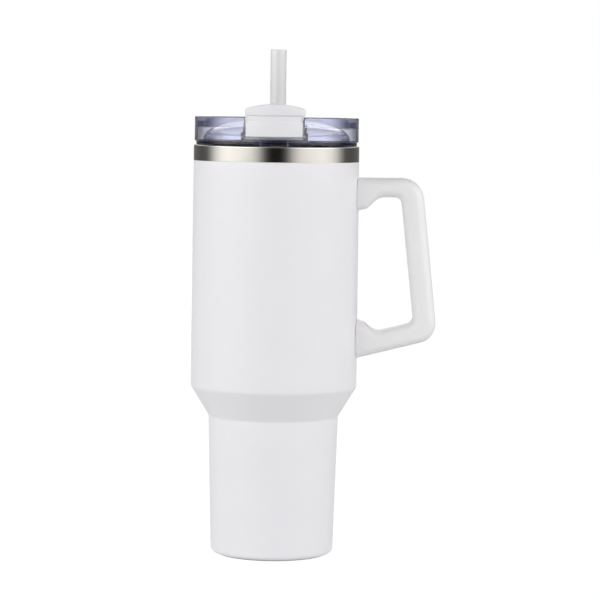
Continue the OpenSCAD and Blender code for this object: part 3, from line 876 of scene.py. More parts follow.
@dataclass
class Handle:
    """The handle: a round-edged loop whose two roots flare out against the body.

    A flare is its length along the arm and its height, counts are the steps along an arm, around a bend
    and along the grip, and way_span is where a screw's way starts and ends, seen from its plug's top.
    """

    steel: SteelBody
    drop: float = 18.9
    arm_t: float = 11.6
    grip_t: float = 13.6
    low_arm_t: float = 12.6
    grip_top_reach: float = 32.0
    grip_low_reach: float = 41.5
    grip_h: float = 86.3
    low_arm_angle: float = 14.4
    upper_bend_r: float = 13.5
    lower_bend_r: float = 12.0
    inner_bend_r: float = 4.5
    upper_flare: tuple[float, float] = (8.5, 6.9)
    lower_flare: tuple[float, float] = (8.7, 7.8)
    flare_run: float = 6.8
    flare_r: float = 9.0
    flare_tip_r: float = 5.2
    root_slope: float = 0.26
    root_inset: float = 3.0
    width: float = 22.0
    edge_r: float = 5.5
    seat_gap: float = 0.1
    end_round: float = 0.5
    least_corner: float = 0.1
    warp_run: float = 9.0
    seat_shares: tuple[float, ...] = (0.02, 0.3, 0.6, 0.85)
    plug_h: float = 7.0
    plug_gap: float = 0.06
    way_span: tuple[float, float] = (-14.0, -1.0)
    counts: tuple[int, int, int] = (40, 16, 24)
    corner_steps: int = 10
    flare_steps: int = 24

    def centre_line(self) -> np.ndarray:
        """The four corners of the line along the middle of the arms and the grip.

        Returns:
            Its points as (x, z), from the upper root to the lower one.
        """
        r = self.steel.top_r
        top = self.steel.rim_z - self.drop - self.arm_t / 2
        root_x = r - self.root_inset
        upper = np.array([r + self.grip_top_reach, top])
        lower = np.array([r + self.grip_low_reach, top - self.grip_h])
        slope = math.tan(math.radians(self.low_arm_angle))
        return np.array([[root_x, top], upper, lower, lower - (lower[0] - root_x) * np.array([1, slope])])

    def edge_line(self, side: float) -> np.ndarray:
        """The centre line moved by half of each stretch's thickness to one side.

        Two moved lines with lefts n and m and offsets d and e meet at the corner plus
        ((d - e k) n + (e - d k) m) / (1 - k^2), where k = n . m.

        Args:
            side: 1 for the outer edge, -1 for the inner one.

        Returns:
            Its four corners as (x, z).
        """
        c, n = self.centre_line(), lefts(self.centre_line())
        d = side * np.array([self.arm_t, self.grip_t, self.low_arm_t]) / 2
        k = np.einsum("ij,ij->i", n[:-1], n[1:])[:, None]
        d0, d1 = d[:-1, None], d[1:, None]
        corners = c[1:-1] + ((d0 - d1 * k) * n[:-1] + (d1 - d0 * k) * n[1:]) / (1 - k * k)
        return np.vstack([c[:1] + d[0] * n[:1], corners, c[-1:] + d[2] * n[2:]])

    def inner_runs(self) -> tuple[np.ndarray, np.ndarray]:
        """The inner edges of the two arms with their flares.

        Returns:
            The upper and the lower edge as (x, z) paths, from the body outwards.
        """
        line = self.edge_line(-1)
        slope = math.tan(math.radians(self.low_arm_angle))
        (ux, uh), (lx, lh) = self.upper_flare, self.lower_flare
        p, q, up = line[0], line[3], np.array([1, slope])
        upper = [p - [0, uh + ux * self.root_slope], p + [ux, -uh], p + [ux + self.flare_run, 0], line[1]]
        lower = [
            q + [0, lh + lx * (slope + self.root_slope)], q + lx * up + [0, lh],
            q + (lx + self.flare_run) * up, line[2],
        ]
        radii = [0, self.flare_tip_r, self.flare_r, 0]
        return rounded(upper, radii, self.flare_steps), rounded(lower, radii, self.flare_steps)

    def rails(self) -> tuple[np.ndarray, np.ndarray]:
        """Matched points on the outer and the inner edge, in five stretches from root to root.

        Along an arm both edges are read at the same share of their way; around a bend at the same share
        of its arc; and along the grip at the same share of its length.

        Returns:
            The outer and the inner points as (x, z), one for one.
        """
        outer, inner = self.edge_line(1), self.edge_line(-1)
        arm_n, bend_n, grip_n = self.counts
        high, low = self.inner_runs()
        start_x = self.steel.radius_at(self.centre_line()[[0, 3], 1]) + self.seat_gap
        bends = {
            "out_up": corner_arc(outer[0], outer[1], outer[2], self.upper_bend_r, bend_n),
            "out_low": corner_arc(outer[1], outer[2], outer[3], self.lower_bend_r, bend_n),
            "in_up": corner_arc(inner[0], inner[1], inner[2], self.inner_bend_r, bend_n),
            "in_low": corner_arc(inner[1], inner[2], inner[3], self.inner_bend_r, bend_n),
        }

        def arm(path: np.ndarray, x0: float, end: np.ndarray) -> np.ndarray:
            """Heights of a path read at even steps of x from x0 to the start of its bend."""
            x = np.linspace(x0, end[0], arm_n)
            return np.stack([x, np.interp(x, path[:, 0], path[:, 1])], axis=1)

        def grip(a: np.ndarray, b: np.ndarray) -> np.ndarray:
            """Even steps from a to b, without the two ends."""
            return a + (b - a) * np.linspace(0, 1, grip_n)[1:-1, None]

        outside = np.vstack([
            arm(outer[:2], start_x[0], bends["out_up"][0])[:-1], bends["out_up"],
            grip(bends["out_up"][-1], bends["out_low"][0]), bends["out_low"],
            arm(outer[:1:-1], start_x[1], bends["out_low"][-1])[-2::-1],
        ])
        inside = np.vstack([
            arm(high, start_x[0], bends["in_up"][0])[:-1], bends["in_up"],
            grip(bends["in_up"][-1], bends["in_low"][0]), bends["in_low"],
            arm(low, start_x[1], bends["in_low"][-1])[-2::-1],
        ])
        return outside, inside

    def ring(self, outside: np.ndarray, inside: np.ndarray, inset: float) -> np.ndarray:
        """Round-cornered section between a matched pair of points: middle + a across, with b along y.

        Args:
            outside: The point on the outer edge, as (x, z).
            inside: Its mate on the inner edge.
            inset: How far the section is moved in.

        Returns:
            The section's points as (x, y, z).
        """
        middle, half = (outside + inside) / 2, np.linalg.norm(outside - inside) / 2
        across = (outside - inside) / (2 * half)
        corner = max(self.edge_r - inset, self.least_corner)
        a, b = soft_rectangle(half - inset, self.width / 2 - inset, corner, self.corner_steps).T
        return np.stack([middle[0] + a * across[0], b, middle[1] + a * across[1]], axis=1)

    def seated(self, ring: np.ndarray, lift: float, start_x: float) -> np.ndarray:
        """Moves a ring near a root so that its end lies on the body's curved wall.

        A point moves in x by (sqrt(R^2 - y^2) - R) (1 - s)^2, where R is the wall's radius with the pad
        and s is its share of the way from the wall to where the bend in plan dies out.

        Args:
            ring: The ring's points.
            lift: How far outwards it moves as well.
            start_x: Where the root meets the wall on the middle plane.

        Returns:
            The moved ring.
        """
        r = self.steel.radius_at(ring[:, 2]) + self.seat_gap
        share = np.clip((ring[:, 0] - start_x) / self.warp_run, 0, 1)
        out = ring.copy()
        out[:, 0] += (np.sqrt(r**2 - ring[:, 1] ** 2) - r) * (1 - share) ** 2 + lift
        return out

    def root(self, outside: np.ndarray, inside: np.ndarray) -> list[np.ndarray]:
        """Rings that close a root from the middle of its seat outwards: the seat, then its round edge.

        Args:
            outside: The root's point on the outer edge, as (x, z).
            inside: Its mate on the inner edge.

        Returns:
            The rings, the smallest first.
        """
        start_x = outside[0]
        full = self.ring(outside, inside, self.end_round)
        middle = full.mean(0)
        seat = [middle + (full - middle) * share for share in self.seat_shares]
        steps = edge_steps(self.end_round)[:-1]
        edge = [(self.ring(outside, inside, inset), down) for inset, down in steps]
        rings = [self.seated(ring, 0.0, start_x) for ring in seat]
        return rings + [self.seated(ring, down, start_x) for ring, down in edge]

    def cover(self) -> bpy.types.Object:
        """The whole handle as one loft, with the two screw ways cut from below.

        Returns:
            The handle's object.
        """
        outside, inside = self.rails()
        arm_n = self.counts[0]
        body = [self.ring(o, i, 0.0) for o, i in zip(outside, inside)]
        keep_from = int(np.searchsorted(outside[:arm_n, 0], outside[0, 0] + self.end_round))
        rings = self.root(outside[0], inside[0])
        rings += [self.seated(r, 0.0, outside[0, 0]) for r in body[keep_from:-arm_n]]
        rings += [self.seated(r, 0.0, outside[-1, 0]) for r in body[-arm_n : len(body) - keep_from]]
        rings += self.root(outside[-1], inside[-1])[::-1]
        made = as_object("handle_shell", loft(np.array(rings)))
        low, high = cad_box("screw_plugs")
        x, r = (low[0] + high[0]) / 2, (high[0] - low[0]) / 2 + self.plug_gap
        for top in (low[2] + self.plug_h, high[2]):
            start, end = (top + along for along in self.way_span)
            way = np.array([[0, start], [r, start], [r, end], [0, end]])
            combine(made, spin(way, (x, 0), SCREW_SEGMENTS), Join.CUT)
        return fit_out(made, SOFT_TOUCH, Body.CUP, ("handle_cover",))

    def build(self) -> None:
        """Makes the cover and dresses the core, the brackets, the screws, the plugs and the pads."""
        self.cover()
        dress("handle_core", FILLED_NYLON)
        dress("screw_plugs", SOFT_TOUCH)
        dress("root_pads", SOFT_TOUCH)
        for node in ("upper_bracket", "lower_bracket", "handle_screws"):
            dress(node, PICKLED_STEEL)


@dataclass
class Lid:
    """The clear lid: plug, ring wall, domed deck, gasket and straw grommet.

    The lengths named near, past, far and reach only say how much further a cutter goes than what it cuts.
    """

    ring_t: float = 1.8
    crown_w: float = 4.8
    crown_h: float = 6.0
    crown_edge: float = 0.8
    crown_round: float = 0.25
    crown_hollow: float = 0.2
    floor_t: float = 3.2
    deck_h: float = 11.6
    deck_t: float = 2.0
    dome_power: float = 2.6
    dome_gap: float = 0.4
    plug_t: float = 3.0
    groove_h: float = 6.0
    groove_depth: float = 1.5
    groove_drop: float = 10.0
    neck_step: float = 0.9
    notch_rise: float = 1.4
    notch_corner: float = 0.1
    notch_edge: float = 0.4
    notch_reach: float = 8.0
    notch_depth: float = 20.0
    clearance: float = 0.3
    channel_wall: float = 1.9
    channel_lip: float = 1.0
    channel_end: float = 16.0
    channel_corner: float = 0.8
    channel_step: float = 0.05
    channel_edge: float = 0.1
    rail_corner: float = 0.3
    rail_w: float = 0.9
    rail_h: float = 1.8
    rail_rise: float = 1.0
    sip_len: float = 6.5
    sip_w: float = 20.0
    sip_back: float = 5.0
    slide_w: float = 34.0
    air_hole_r: float = 1.2
    air_hole_y: float = 32.0
    grommet_lip: float = 1.2
    boss_wall: float = 0.6
    boss_edge: float = 0.4
    lip_t: float = 0.9
    joint_gap: float = 0.04
    edge: float = 0.3
    foot_edge: float = 0.35
    tight_edge: float = 0.15
    seat_gap: float = 0.02
    gasket_gap: float = 0.1
    gasket_reach: float = 0.48
    gasket_lips: tuple[float, float] = (0.7, 2.9)
    grommet_room: float = 0.4
    bore_gap: float = 0.08
    sleeve_gap: float = 0.03
    near: float = 1.0
    past: float = 2.0
    far: float = 5.0
    segments: int = 192
    ring_r: float = field(init=False)
    plug_r: float = field(init=False)
    low_z: float = field(init=False)
    seat_z: float = field(init=False)
    ring_low_z: float = field(init=False)
    ring_top_z: float = field(init=False)
    floor_z: float = field(init=False)
    gasket_r: float = field(init=False)
    slide_end_y: float = field(init=False)
    straw_y: float = field(init=False)
    straw_r: float = field(init=False)
    grommet_r: float = field(init=False)

    def __post_init__(self) -> None:
        """Takes levels, radii and the places of the slide and the straw from the frame."""
        ring_low, ring_high = cad_box("lid_ring")
        plug_low, plug_high = cad_box("lid_plug")
        self.ring_r, self.ring_low_z, self.ring_top_z = ring_high[1], ring_low[2], ring_high[2]
        self.low_z, self.floor_z = plug_low[2], plug_high[2]
        self.seat_z = self.floor_z - self.floor_t
        self.gasket_r = cad_box("lid_gasket")[1][1]
        self.plug_r = self.gasket_r - self.gasket_reach
        self.slide_end_y = cad_box("slide")[1][1]
        straw_low, straw_high = cad_box("straw")
        self.straw_y = (straw_low[1] + straw_high[1]) / 2
        self.straw_r = (straw_high[1] - straw_low[1]) / 2
        grommet_low, grommet_high = cad_box("straw_grommet")
        self.grommet_r = (grommet_high[0] - grommet_low[0]) / 2 - self.grommet_lip

    def hole(self, y: float, r: float, low_z: float, high_z: float) -> Shape:
        """An upright cylinder that cuts a hole at y on the middle line."""
        return spin(np.array([[0, low_z], [r, low_z], [r, high_z], [0, high_z]]), (0, y), HOLE_SEGMENTS)

    def slot(self, low_z: float, high_z: float) -> Shape:
        """The sip hole: a loop of two half circles joined by straight sides, cut upwards.

        Args:
            low_z: Height where the cut starts.
            high_z: Height where it ends.

        Returns:
            A closed shape to cut with.
        """
        y = -self.ring_r + self.sip_back + self.sip_len / 2
        loop = soft_rectangle(self.sip_w / 2, self.sip_len / 2, self.sip_len / 2, 16) + [0, y]
        return loft(np.array([at_height(loop, z) for z in (low_z, high_z)]))

    def plug(self) -> bpy.types.Object:
        """The plug: floor, hanging wall with the gasket's groove, and the shadow gap's neck.

        Returns:
            The plug's object.
        """
        r, e, tight = self.plug_r, self.edge, self.tight_edge
        groove_r, groove_z = r - self.groove_depth, self.seat_z - self.groove_drop
        neck_r, neck_z = self.ring_r - self.neck_step, self.ring_low_z - self.joint_gap
        inside_r = self.ring_r - self.ring_t - self.joint_gap
        path = [
            [0, self.seat_z], [r - self.plug_t, self.seat_z], [r - self.plug_t, self.low_z], [r, self.low_z],
            [r, groove_z], [groove_r, groove_z], [groove_r, groove_z + self.groove_h],
            [r, groove_z + self.groove_h], [r, self.seat_z], [neck_r, self.seat_z], [neck_r, neck_z],
            [inside_r, neck_z], [inside_r, self.floor_z], [0, self.floor_z],
        ]
        radii = [0, 1.2, e, 0.6, tight, tight, tight, tight, 0.2, e, tight, 0, e, 0]
        made = as_object("clear_plug", spin(rounded(path, radii, 5), segments=self.segments))
        low, high = self.seat_z - self.past, self.floor_z + self.past
        combine(made, self.slot(low, high), Join.CUT)
        combine(made, self.hole(self.straw_y, self.grommet_r + self.grommet_room, low, high), Join.CUT)
        combine(made, self.hole(self.air_hole_y, self.air_hole_r, low, high), Join.CUT)
        return fit_out(made, SMOKE_TRITAN, Body.LID, ("lid_plug",))

    def ring(self) -> bpy.types.Object:
        """The ring wall with its crown, and the notch that the slide's front block stands in.

        Returns:
            The ring's object.
        """
        r, e, top = self.ring_r, self.crown_edge, self.ring_top_z
        path = [
            [r, self.ring_low_z], [r, top], [r - self.crown_w, top], [r - self.crown_w, top - self.crown_h],
            [r - self.ring_t, top - self.crown_h], [r - self.ring_t, self.ring_low_z],
        ]
        radii = [self.foot_edge, e, e, self.crown_round, self.crown_hollow, self.tight_edge]
        loop = rounded(path, radii, 10, closed=True)
        made = as_object("clear_ring", spin(loop, segments=self.segments))
        half = self.slide_w / 2 + self.clearance
        low_z = self.floor_z + self.notch_rise
        reach, back = self.notch_reach, -r + self.notch_depth
        low, high = [-half, -r - reach, low_z], [half, back, top + reach]
        notch = soft_box(low, high, self.notch_corner, self.notch_edge)
        combine(made, notch, Join.CUT)
        return fit_out(made, SMOKE_TRITAN, Body.LID, ("lid_ring",))

    def dome(self, inset: float) -> np.ndarray:
        """The dome's profile from its foot to its top, moved in by inset.

        r = R cos(a)^(2/p), z = floor + H sin(a)^(2/p): a flattened ellipse of power p.

        Args:
            inset: How far it is moved in.

        Returns:
            Its points as (radius, height), inwards.
        """
        a = np.linspace(0, np.pi / 2, 40)
        r, h = self.ring_r - self.crown_w - self.dome_gap - inset, self.deck_h - inset
        low, power = self.floor_z + self.joint_gap, 2 / self.dome_power
        return np.stack([r * np.cos(a) ** power, low + h * np.sin(a) ** power], axis=1)

    def dome_solid(self) -> Shape:
        """The dome filled in, down to the floor.

        Returns:
            A closed shape.
        """
        profile = self.dome(0)
        profile[-1, 0] = 0
        return spin(np.vstack([[[0, profile[0, 1]]], profile]), segments=self.segments)

    def channel_block(self, half: float, front: float, end_y: float, top: float) -> Shape:
        """The slide's channel before it is hollowed: a block under the dome, thinner above the rails.

        Args:
            half: Half the channel's width.
            front: Where the block starts in y.
            end_y: Where the channel ends in y.
            top: Height that the block reaches past the dome.

        Returns:
            What the block and the filled dome share.
        """
        wall, lip = self.channel_wall, self.channel_lip
        step_z = self.floor_z + self.rail_rise + self.rail_h + lip
        back = end_y + wall
        rings = []
        low, above = self.floor_z - self.near, step_z + self.channel_step
        for z, w in ((low, wall), (step_z, wall), (above, lip), (top, lip)):
            plan = soft_rectangle(half + w, (back - front) / 2, self.channel_corner)
            rings.append(at_height(plan + [0, (back + front) / 2], z))
        block = as_object("channel_block", loft(np.array(rings)))
        combine(block, self.dome_solid(), Join.KEEP)
        points = np.array([v.co for v in block.data.vertices]) / MM
        shared = Shape(points, [list(p.vertices) for p in block.data.polygons])
        bpy.data.objects.remove(block)
        return shared

    def deck(self) -> bpy.types.Object:
        """The domed deck: a thin shell, the slide's channel with its two walls, and the holes.

        Returns:
            The deck's object.
        """
        outside, inside = self.dome(0), self.dome(self.deck_t)
        outside[-1, 0] = inside[-1, 0] = 0
        shell = spin(np.vstack([inside[::-1], outside]), segments=self.segments)
        made = as_object("clear_deck", shell)
        half, end_y = self.slide_w / 2 + self.clearance, self.slide_end_y + self.channel_end
        front, top = -self.ring_r - self.far, self.floor_z + self.deck_h + self.far
        combine(made, self.channel_block(half, front, end_y, top), Join.ADD)
        combine(made, spin(self.boss_profile(), (0, self.straw_y), HOLE_SEGMENTS), Join.ADD)
        low, corner = self.floor_z - self.past, self.channel_corner
        start_y, edge = front - self.near, self.channel_edge
        channel = soft_box([-half, start_y, low], [half, end_y, top + self.near], corner, edge)
        rail_half, rail_z = half + self.rail_w, self.floor_z + self.rail_rise
        rail = soft_box([-rail_half, start_y, rail_z - self.clearance],
                        [rail_half, end_y, rail_z + self.rail_h + self.clearance], self.rail_corner, edge)
        straw_hole = self.hole(self.straw_y, self.grommet_r, low, top)
        air_hole = self.hole(self.air_hole_y, self.air_hole_r, low, top)
        for cut in (channel, rail, straw_hole, air_hole):
            combine(made, cut, Join.CUT)
        return fit_out(made, SMOKE_TRITAN, Body.LID, ("lid_deck",))

    def boss_profile(self) -> np.ndarray:
        """The flat boss that the grommet sits in, with a round top edge.

        Returns:
            Its points as (radius, height), upwards.
        """
        r, top = self.grommet_r + self.grommet_lip + self.boss_wall, self.floor_z + self.deck_h
        low = self.floor_z + self.joint_gap
        return rounded([[0, low], [r, low], [r, top], [0, top]], [0, 0, self.boss_edge, 0], 5)

    def gasket(self) -> bpy.types.Object:
        """The gasket: a band in the groove with two lips that rise outwards to the steel mouth.

        Returns:
            The gasket's object.
        """
        inner, outer = self.plug_r - self.groove_depth + self.seat_gap, self.plug_r
        tip, t, gap = self.gasket_r, self.lip_t, self.gasket_gap
        groove_z = self.seat_z - self.groove_drop
        low, high = groove_z + gap, groove_z + self.groove_h - gap
        path = [[inner, low], [outer, low]]
        for base in (low + rise for rise in self.gasket_lips):
            path += [[outer, base], [tip, base + t], [tip, base + 1.5 * t], [outer, base + 1.2 * t]]
        path += [[outer, high], [inner, high]]
        radii = [0.1, 0.2, *[0.12, 0.1, 0.1, 0.08] * 2, 0.2, 0.1]
        made = as_object("lid_gasket_ring", spin(rounded(path, radii, 4, closed=True)))
        return fit_out(made, SILICONE, Body.LID, ("lid_gasket",))

    def grommet(self) -> bpy.types.Object:
        """The grommet: a sleeve through the deck with a rolled collar on top.

        Returns:
            The grommet's object.
        """
        low, high = cad_box("straw_grommet")
        bore, r = self.straw_r + self.bore_gap, self.grommet_r - self.sleeve_gap
        collar, shelf = self.grommet_r + self.grommet_lip, self.floor_z + self.deck_h + self.seat_gap
        path = [[bore, low[2]], [r, low[2]], [r, shelf], [collar, shelf], [collar, high[2]], [bore, high[2]]]
        loop = rounded(path, [0.3, 0.3, 0.05, 0.35, 0.45, 0.3], 6, closed=True)
        made = as_object("straw_collar", spin(loop, (0, self.straw_y), TUBE_SEGMENTS))
        return fit_out(made, SILICONE, Body.LID, ("straw_grommet",))

    def build(self) -> None:
        """Makes the five pieces of the lid."""
        self.plug()
        self.ring()
        self.deck()
        self.gasket()
        self.grommet()


@dataclass
class SipSlide:
    """The sliding closure: a front block, an arched thumb lip above it, and a flat tail with rails."""

    lid: Lid
    lip_half: float = 17.65
    lip_shift: float = 0.6
    lip_gap: float = 0.6
    lip_ball: float = 1.4
    lip_end: float = 0.7
    arch_r: float = 60.0
    lip_depth: float = 9.0
    back_drop: float = 1.9
    block_depth: float = 15.5
    block_corner_r: float = 1.2
    block_edge: float = 0.7
    groove_depth: float = 0.7
    groove_h: float = 2.4
    tail_len: float = 22.0
    tail_t: float = 3.4
    tail_sink: float = 3.0
    rail_shift: float = 0.3
    front_gap: float = 0.1
    front_proud: float = 0.2
    least_corner: float = 0.1
    least_lip_corner: float = 0.06
    front_corner: float = 0.9
    corner_reach: int = 4
    end_steps: int = 8
    lip_steps: int = 41
    neck_sink: float = 1.0
    neck_rise: float = 0.8
    neck_edge: float = 0.1
    foot_rise: float = 1.0
    foot_edge: float = 0.3
    tail_corner: float = 1.5
    tail_edge: float = 0.4
    rail_corner: float = 0.4
    rail_edge: float = 0.2

    def footprint(self, inset: float, r: float, z: float, steps: int = 24) -> np.ndarray:
        """Plan of the block: a front arc about the cup's axis, straight sides and a straight back.

        The front is x from -w to w and y = -sqrt(r^2 - x^2), and every line is moved in by inset.

        Args:
            inset: How far the lines are moved in.
            r: Radius of the front.
            z: Height of the plan.
            steps: Steps of the front.

        Returns:
            The plan's points as (x, y, z).
        """
        w, back = self.lid.slide_w / 2 - inset, -self.lid.ring_r + self.block_depth - inset
        x = np.linspace(-w, w, steps + 1)
        front = np.stack([x, -np.sqrt((r - inset) ** 2 - x**2)], axis=1)
        corner = max(self.block_corner_r - inset, self.least_corner)
        near = self.corner_reach
        left = corner_arc(np.array([-w, back]), front[0], front[near], corner, 6)
        right = corner_arc(front[-1 - near], front[-1], np.array([w, back]), corner, 6)
        ends = [
            corner_arc(np.array([x, front[0, 1]]), np.array([x, back]), np.array([-x, back]), corner, 6)
            for x in (w, -w)
        ]
        straight = front[near - 1 : 1 - near]
        return at_height(np.vstack([left, straight, right, ends[0], ends[1][::-1]]), z)

    def stack(self, r: float, low: float, high: float, edge: float, inset: float = 0.0) -> Shape:
        """A block on that footprint, with round top and bottom edges.

        Args:
            r: Radius of its front.
            low: Height of its bottom.
            high: Height of its top.
            edge: Radius of its edges.
            inset: How far its sides are moved in.

        Returns:
            A closed shape.
        """
        return loft(np.array([self.footprint(inset + i, r, z) for i, z in edge_levels(low, high, edge)]))

    def thumb_lip(self) -> Shape:
        """The thumb lip: round-cornered sections along x under an arch of radius arch_r, with round ends.

        The front follows the ring's outside, the top z = top - R + sqrt(R^2 - x^2) falls a little to the
        back, and near each end the section draws in by b - sqrt(b^2 - s^2), s the way into the end.

        Returns:
            A closed shape.
        """
        ball, lid = self.lip_ball, self.lid
        top = cad_box("slide")[1][2]
        low_z = lid.ring_top_z + self.lip_gap
        half, b = self.lip_half, self.lip_end
        end = half - b + b * np.sin(np.radians(np.linspace(0, 88, self.end_steps)))
        x = np.concatenate([-end[::-1], np.linspace(b - half, half - b, self.lip_steps)[1:-1], end])
        into = np.clip(np.abs(x) - (half - b), 0, b)
        inset = b - np.sqrt(b**2 - into**2)
        rings = []
        for at, d in zip(x, inset):
            front = -math.sqrt((lid.ring_r + self.front_proud) ** 2 - min(abs(at), half) ** 2) + d
            back = -lid.ring_r + self.lip_depth + ball - d
            crest = top - self.arch_r + math.sqrt(self.arch_r**2 - at**2) - d
            section = [[front, low_z + d], [back, low_z + d], [back, crest - self.back_drop], [front, crest]]
            radii = [max(r - d, self.least_lip_corner) for r in (self.front_corner, ball, ball, ball)]
            loop = rounded(section, radii, 6, closed=True)
            rings.append(np.column_stack([np.full(len(loop), at + self.lip_shift), loop]))
        return loft(np.array(rings))

    def build(self) -> None:
        """Makes the slide of its overlapping solids, and dresses its seal."""
        lid = self.lid
        low = lid.floor_z + lid.clearance
        notch = lid.floor_z + lid.notch_rise + lid.clearance
        front_r, groove_z = lid.ring_r - self.front_gap, lid.ring_top_z - self.groove_h
        block = self.stack(front_r, notch, groove_z, self.block_edge)
        neck_top = lid.ring_top_z + self.lip_gap + self.neck_rise
        neck = self.stack(front_r, groove_z - self.neck_sink, neck_top, self.neck_edge, self.groove_depth)
        foot_r = lid.ring_r - lid.ring_t - lid.clearance
        foot = self.stack(foot_r, low, notch + self.foot_rise, self.foot_edge)
        back, half = -lid.ring_r + self.block_depth, lid.slide_w / 2
        end = back + self.tail_len
        tail_low, tail_high = [-half, back - self.tail_sink, low], [half, end, low + self.tail_t]
        tail = soft_box(tail_low, tail_high, self.tail_corner, self.tail_edge)
        rail_z, shift = lid.floor_z + lid.rail_rise, self.rail_shift
        # the right rail sinks into the tail's side, and the left one stands off it by the same length
        spans = ((-half - lid.rail_w - shift, -half - shift), (half - shift, half + lid.rail_w))
        rails = [
            soft_box(
                [left, back, rail_z], [right, end, rail_z + lid.rail_h], self.rail_corner, self.rail_edge
            )
            for left, right in spans
        ]
        shape = self.thumb_lip().plus(block, neck, foot, tail, *rails)
        fit_out(as_object("sip_slide", shape), SATIN_ABS, Body.SLIDE, ("slide",))
        dress("slide_seal", SILICONE)


@dataclass
class Straw:
    """The straw: a plain milky tube, open at both ends."""

    wall: float = 0.9
    lip_round: float = 0.25

    def build(self) -> None:
        """Makes the tube with its two lips rounded by the cutter."""
        low, high = cad_box("straw")
        r, y = (high[0] - low[0]) / 2, (high[1] + low[1]) / 2
        path = [[r - self.wall, low[2]], [r, low[2]], [r, high[2]], [r - self.wall, high[2]]]
        loop = rounded(path, [self.lip_round] * len(path), 5, closed=True)
        made = as_object("straw_tube", spin(loop, (0, y), TUBE_SEGMENTS))
        fit_out(made, MILKY_PP, Body.STRAW, ("straw",))


# ---------------------------------------------------------------- studio


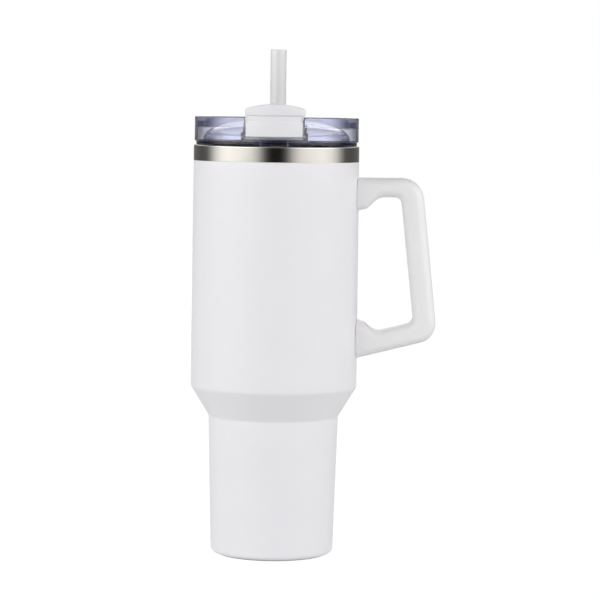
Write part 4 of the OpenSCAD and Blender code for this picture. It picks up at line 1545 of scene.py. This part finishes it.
@dataclass
class Studio:
    """A white table in a tent of soft light, and the camera.

    The plan pairs an angle from the front, in degrees, with a share of the panel's brightness. The spans
    named _from are heights on the unit sphere of directions, over which a change comes in.
    """

    distance: float = 1560.0
    height: float = 269.0
    azimuth: float = 2.0
    aim_right: float = 15.4
    pitch: float = 4.187
    roll: float = 0.0137
    lens: float = 154.4
    sight: tuple[float, float] = (0.05, 100.0)
    floor_size: float = 6.0
    panel: float = 2.75
    high_gain: float = 2.1
    high_glow: float = 0.35
    ceiling: float = 0.2
    left_gain: float = 0.05
    high_from: tuple[float, float] = (0.12, 0.3)
    ceiling_from: tuple[float, float] = (0.42, 0.58)
    panel_tone: tuple[float, float, float] = (1.0, 0.995, 0.98)
    board: float = 0.42
    board_glow: tuple[float, float] = (0.28, 0.78)
    plan: tuple[tuple[float, float], ...] = (
        (0, 0.006), (7, 0.011), (12, 0.045), (16, 0.11), (22, 0.27), (32, 0.5), (45, 0.63), (60, 0.69),
        (72, 0.7), (86, 0.57), (97, 0.33), (108, 0.11), (120, 0.055), (140, 0.06), (158, 0.075), (168, 0.14),
        (174, 0.33), (180, 0.36),
    )
    light_turn: float = 1.0

    def camera(self) -> None:
        """Puts the camera on its stand: distance, height and azimuth, then pitch, aim and roll."""
        a, scene = math.radians(self.azimuth), bpy.context.scene
        right = Vector((math.cos(a), math.sin(a), 0))
        spot = Vector((self.distance * math.sin(a), -self.distance * math.cos(a), self.height))
        aim = right * self.aim_right
        aim.z = self.height - self.distance * math.tan(math.radians(self.pitch))
        made = bpy.data.objects.new("camera", bpy.data.cameras.new("camera"))
        made.data.lens = self.lens
        made.data.clip_start, made.data.clip_end = self.sight
        made.location = spot * MM
        made.rotation_mode = "QUATERNION"
        made.rotation_quaternion = (aim - spot).to_track_quat("-Z", "Y") @ Quaternion((0, 0, 1), self.roll)
        scene.collection.objects.link(made)
        scene.camera = made

    def tent(self) -> None:
        """The light tent, as a sky whose brightness follows the direction.

        Level with the table it follows the plan: angle from the front in degrees, share of the panel's
        brightness. Upwards it turns to the ceiling's brightness. What the camera sees of it is white.
        """
        world = bpy.data.worlds.new("light_tent")
        world.use_nodes = True
        tree = world.node_tree
        tree.nodes.clear()
        way = add_node(tree, "ShaderNodeTexCoord")
        turned = add_node(
            tree,
            "ShaderNodeMapping",
            {0: way.outputs["Generated"], 2: (0, 0, math.radians(-self.light_turn))},
        )
        split = add_node(tree, "ShaderNodeSeparateXYZ", {0: turned.outputs[0]})
        front = add_node(tree, "ShaderNodeMath", {0: split.outputs[1], 1: -1.0}, operation="MULTIPLY")
        angle = add_node(
            tree, "ShaderNodeMath", {0: split.outputs[0], 1: front.outputs[0]}, operation="ARCTAN2"
        )
        side = add_node(tree, "ShaderNodeMath", {0: angle.outputs[0]}, operation="ABSOLUTE")
        share = add_node(tree, "ShaderNodeMath", {0: side.outputs[0], 1: math.pi}, operation="DIVIDE")
        ramp = add_node(tree, "ShaderNodeValToRGB", {0: share.outputs[0]})
        stops = ramp.color_ramp.elements
        ramp.color_ramp.interpolation = "CARDINAL"
        while len(stops) < len(self.plan):
            stops.new(0.5)
        for stop, (degrees, level) in zip(stops, self.plan):
            stop.position = degrees / 180
            stop.color = (*[level * tone for tone in self.panel_tone], 1)
        panels = add_node(
            tree, "ShaderNodeVectorMath", {0: ramp.outputs[0], 3: self.panel}, operation="SCALE"
        )
        ceiling_rise = {"From Min": self.ceiling_from[0], "From Max": self.ceiling_from[1]}
        high_rise = {"From Min": self.high_from[0], "From Max": self.high_from[1]}
        up = add_node(
            tree, "ShaderNodeMapRange", {"Value": split.outputs[2], **ceiling_rise},
            interpolation_type="SMOOTHSTEP",
        )
        lean = add_node(
            tree, "ShaderNodeMath", {0: split.outputs[0], 1: -self.left_gain, 2: 1.0},
            operation="MULTIPLY_ADD",
        )
        higher = add_node(
            tree, "ShaderNodeMapRange",
            {"Value": split.outputs[2], **high_rise, "To Min": 1.0, "To Max": self.high_gain},
            interpolation_type="SMOOTHSTEP",
        )
        gain = add_node(
            tree, "ShaderNodeMath", {0: lean.outputs[0], 1: higher.outputs[0]}, operation="MULTIPLY"
        )
        leaned = add_node(
            tree, "ShaderNodeVectorMath", {0: panels.outputs[0], 3: gain.outputs[0]}, operation="SCALE"
        )
        glow = add_node(
            tree, "ShaderNodeMapRange",
            {"Value": split.outputs[2], **high_rise, "To Min": 0.0, "To Max": self.high_glow},
            interpolation_type="SMOOTHSTEP",
        )
        raised = add_node(
            tree, "ShaderNodeVectorMath", {0: leaned.outputs[0], 1: glow.outputs[0]}, operation="ADD"
        )
        lit = add_node(
            tree, "ShaderNodeMix", {0: up.outputs[0], 6: raised.outputs[0], 7: (*[self.ceiling] * 3, 1)},
            data_type="RGBA",
        )
        path = add_node(tree, "ShaderNodeLightPath")
        seen = add_node(
            tree, "ShaderNodeMix", {0: path.outputs["Is Camera Ray"], 6: lit.outputs[2], 7: (1, 1, 1, 1)},
            data_type="RGBA",
        )
        sky = add_node(tree, "ShaderNodeBackground", {"Color": seen.outputs[2], "Strength": 1.0})
        add_node(tree, "ShaderNodeOutputWorld", {0: sky.outputs[0]})
        bpy.context.scene.world = world

    def floor(self) -> None:
        """The table: matt white board that also glows a little, so that it runs into the background."""
        half = self.floor_size / 2
        mesh = bpy.data.meshes.new("table")
        corners = [(-half, -half, 0), (half, -half, 0), (half, half, 0), (-half, half, 0)]
        mesh.from_pydata(corners, [], [(0, 1, 2, 3)])
        table = bpy.data.objects.new("table", mesh)
        bpy.context.scene.collection.objects.link(table)
        made = bpy.data.materials.new("matt_white_board")
        made.use_nodes = True
        tree = made.node_tree
        tree.nodes.clear()
        board = add_node(tree, "ShaderNodeBsdfDiffuse", {"Color": (*[self.board] * 3, 1)})
        path = add_node(tree, "ShaderNodeLightPath")
        strength = add_node(
            tree, "ShaderNodeMapRange",
            {"Value": path.outputs["Is Camera Ray"], "To Min": self.board_glow[0],
             "To Max": self.board_glow[1]},
        )
        glow = add_node(tree, "ShaderNodeEmission", {"Strength": strength.outputs[0]})
        both = add_node(tree, "ShaderNodeAddShader", {0: board.outputs[0], 1: glow.outputs[0]})
        add_node(tree, "ShaderNodeOutputMaterial", {0: both.outputs[0]})
        mesh.materials.append(made)

    def build(self) -> None:
        """Sets up the light, the table and the camera, and shows plain display colours."""
        self.tent()
        self.floor()
        self.camera()
        bpy.context.scene.view_settings.view_transform = "Standard"


def main() -> None:
    """Builds the studio and the tumbler in order."""
    logging.basicConfig(level=logging.INFO, format="%(name)s: %(message)s")
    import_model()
    Studio().build()
    steel = SteelBody()
    steel.build()
    Base().build()
    Handle(steel).build()
    lid = Lid()
    lid.build()
    SipSlide(lid).build()
    Straw().build()


if __name__ == "__main__":
    main()
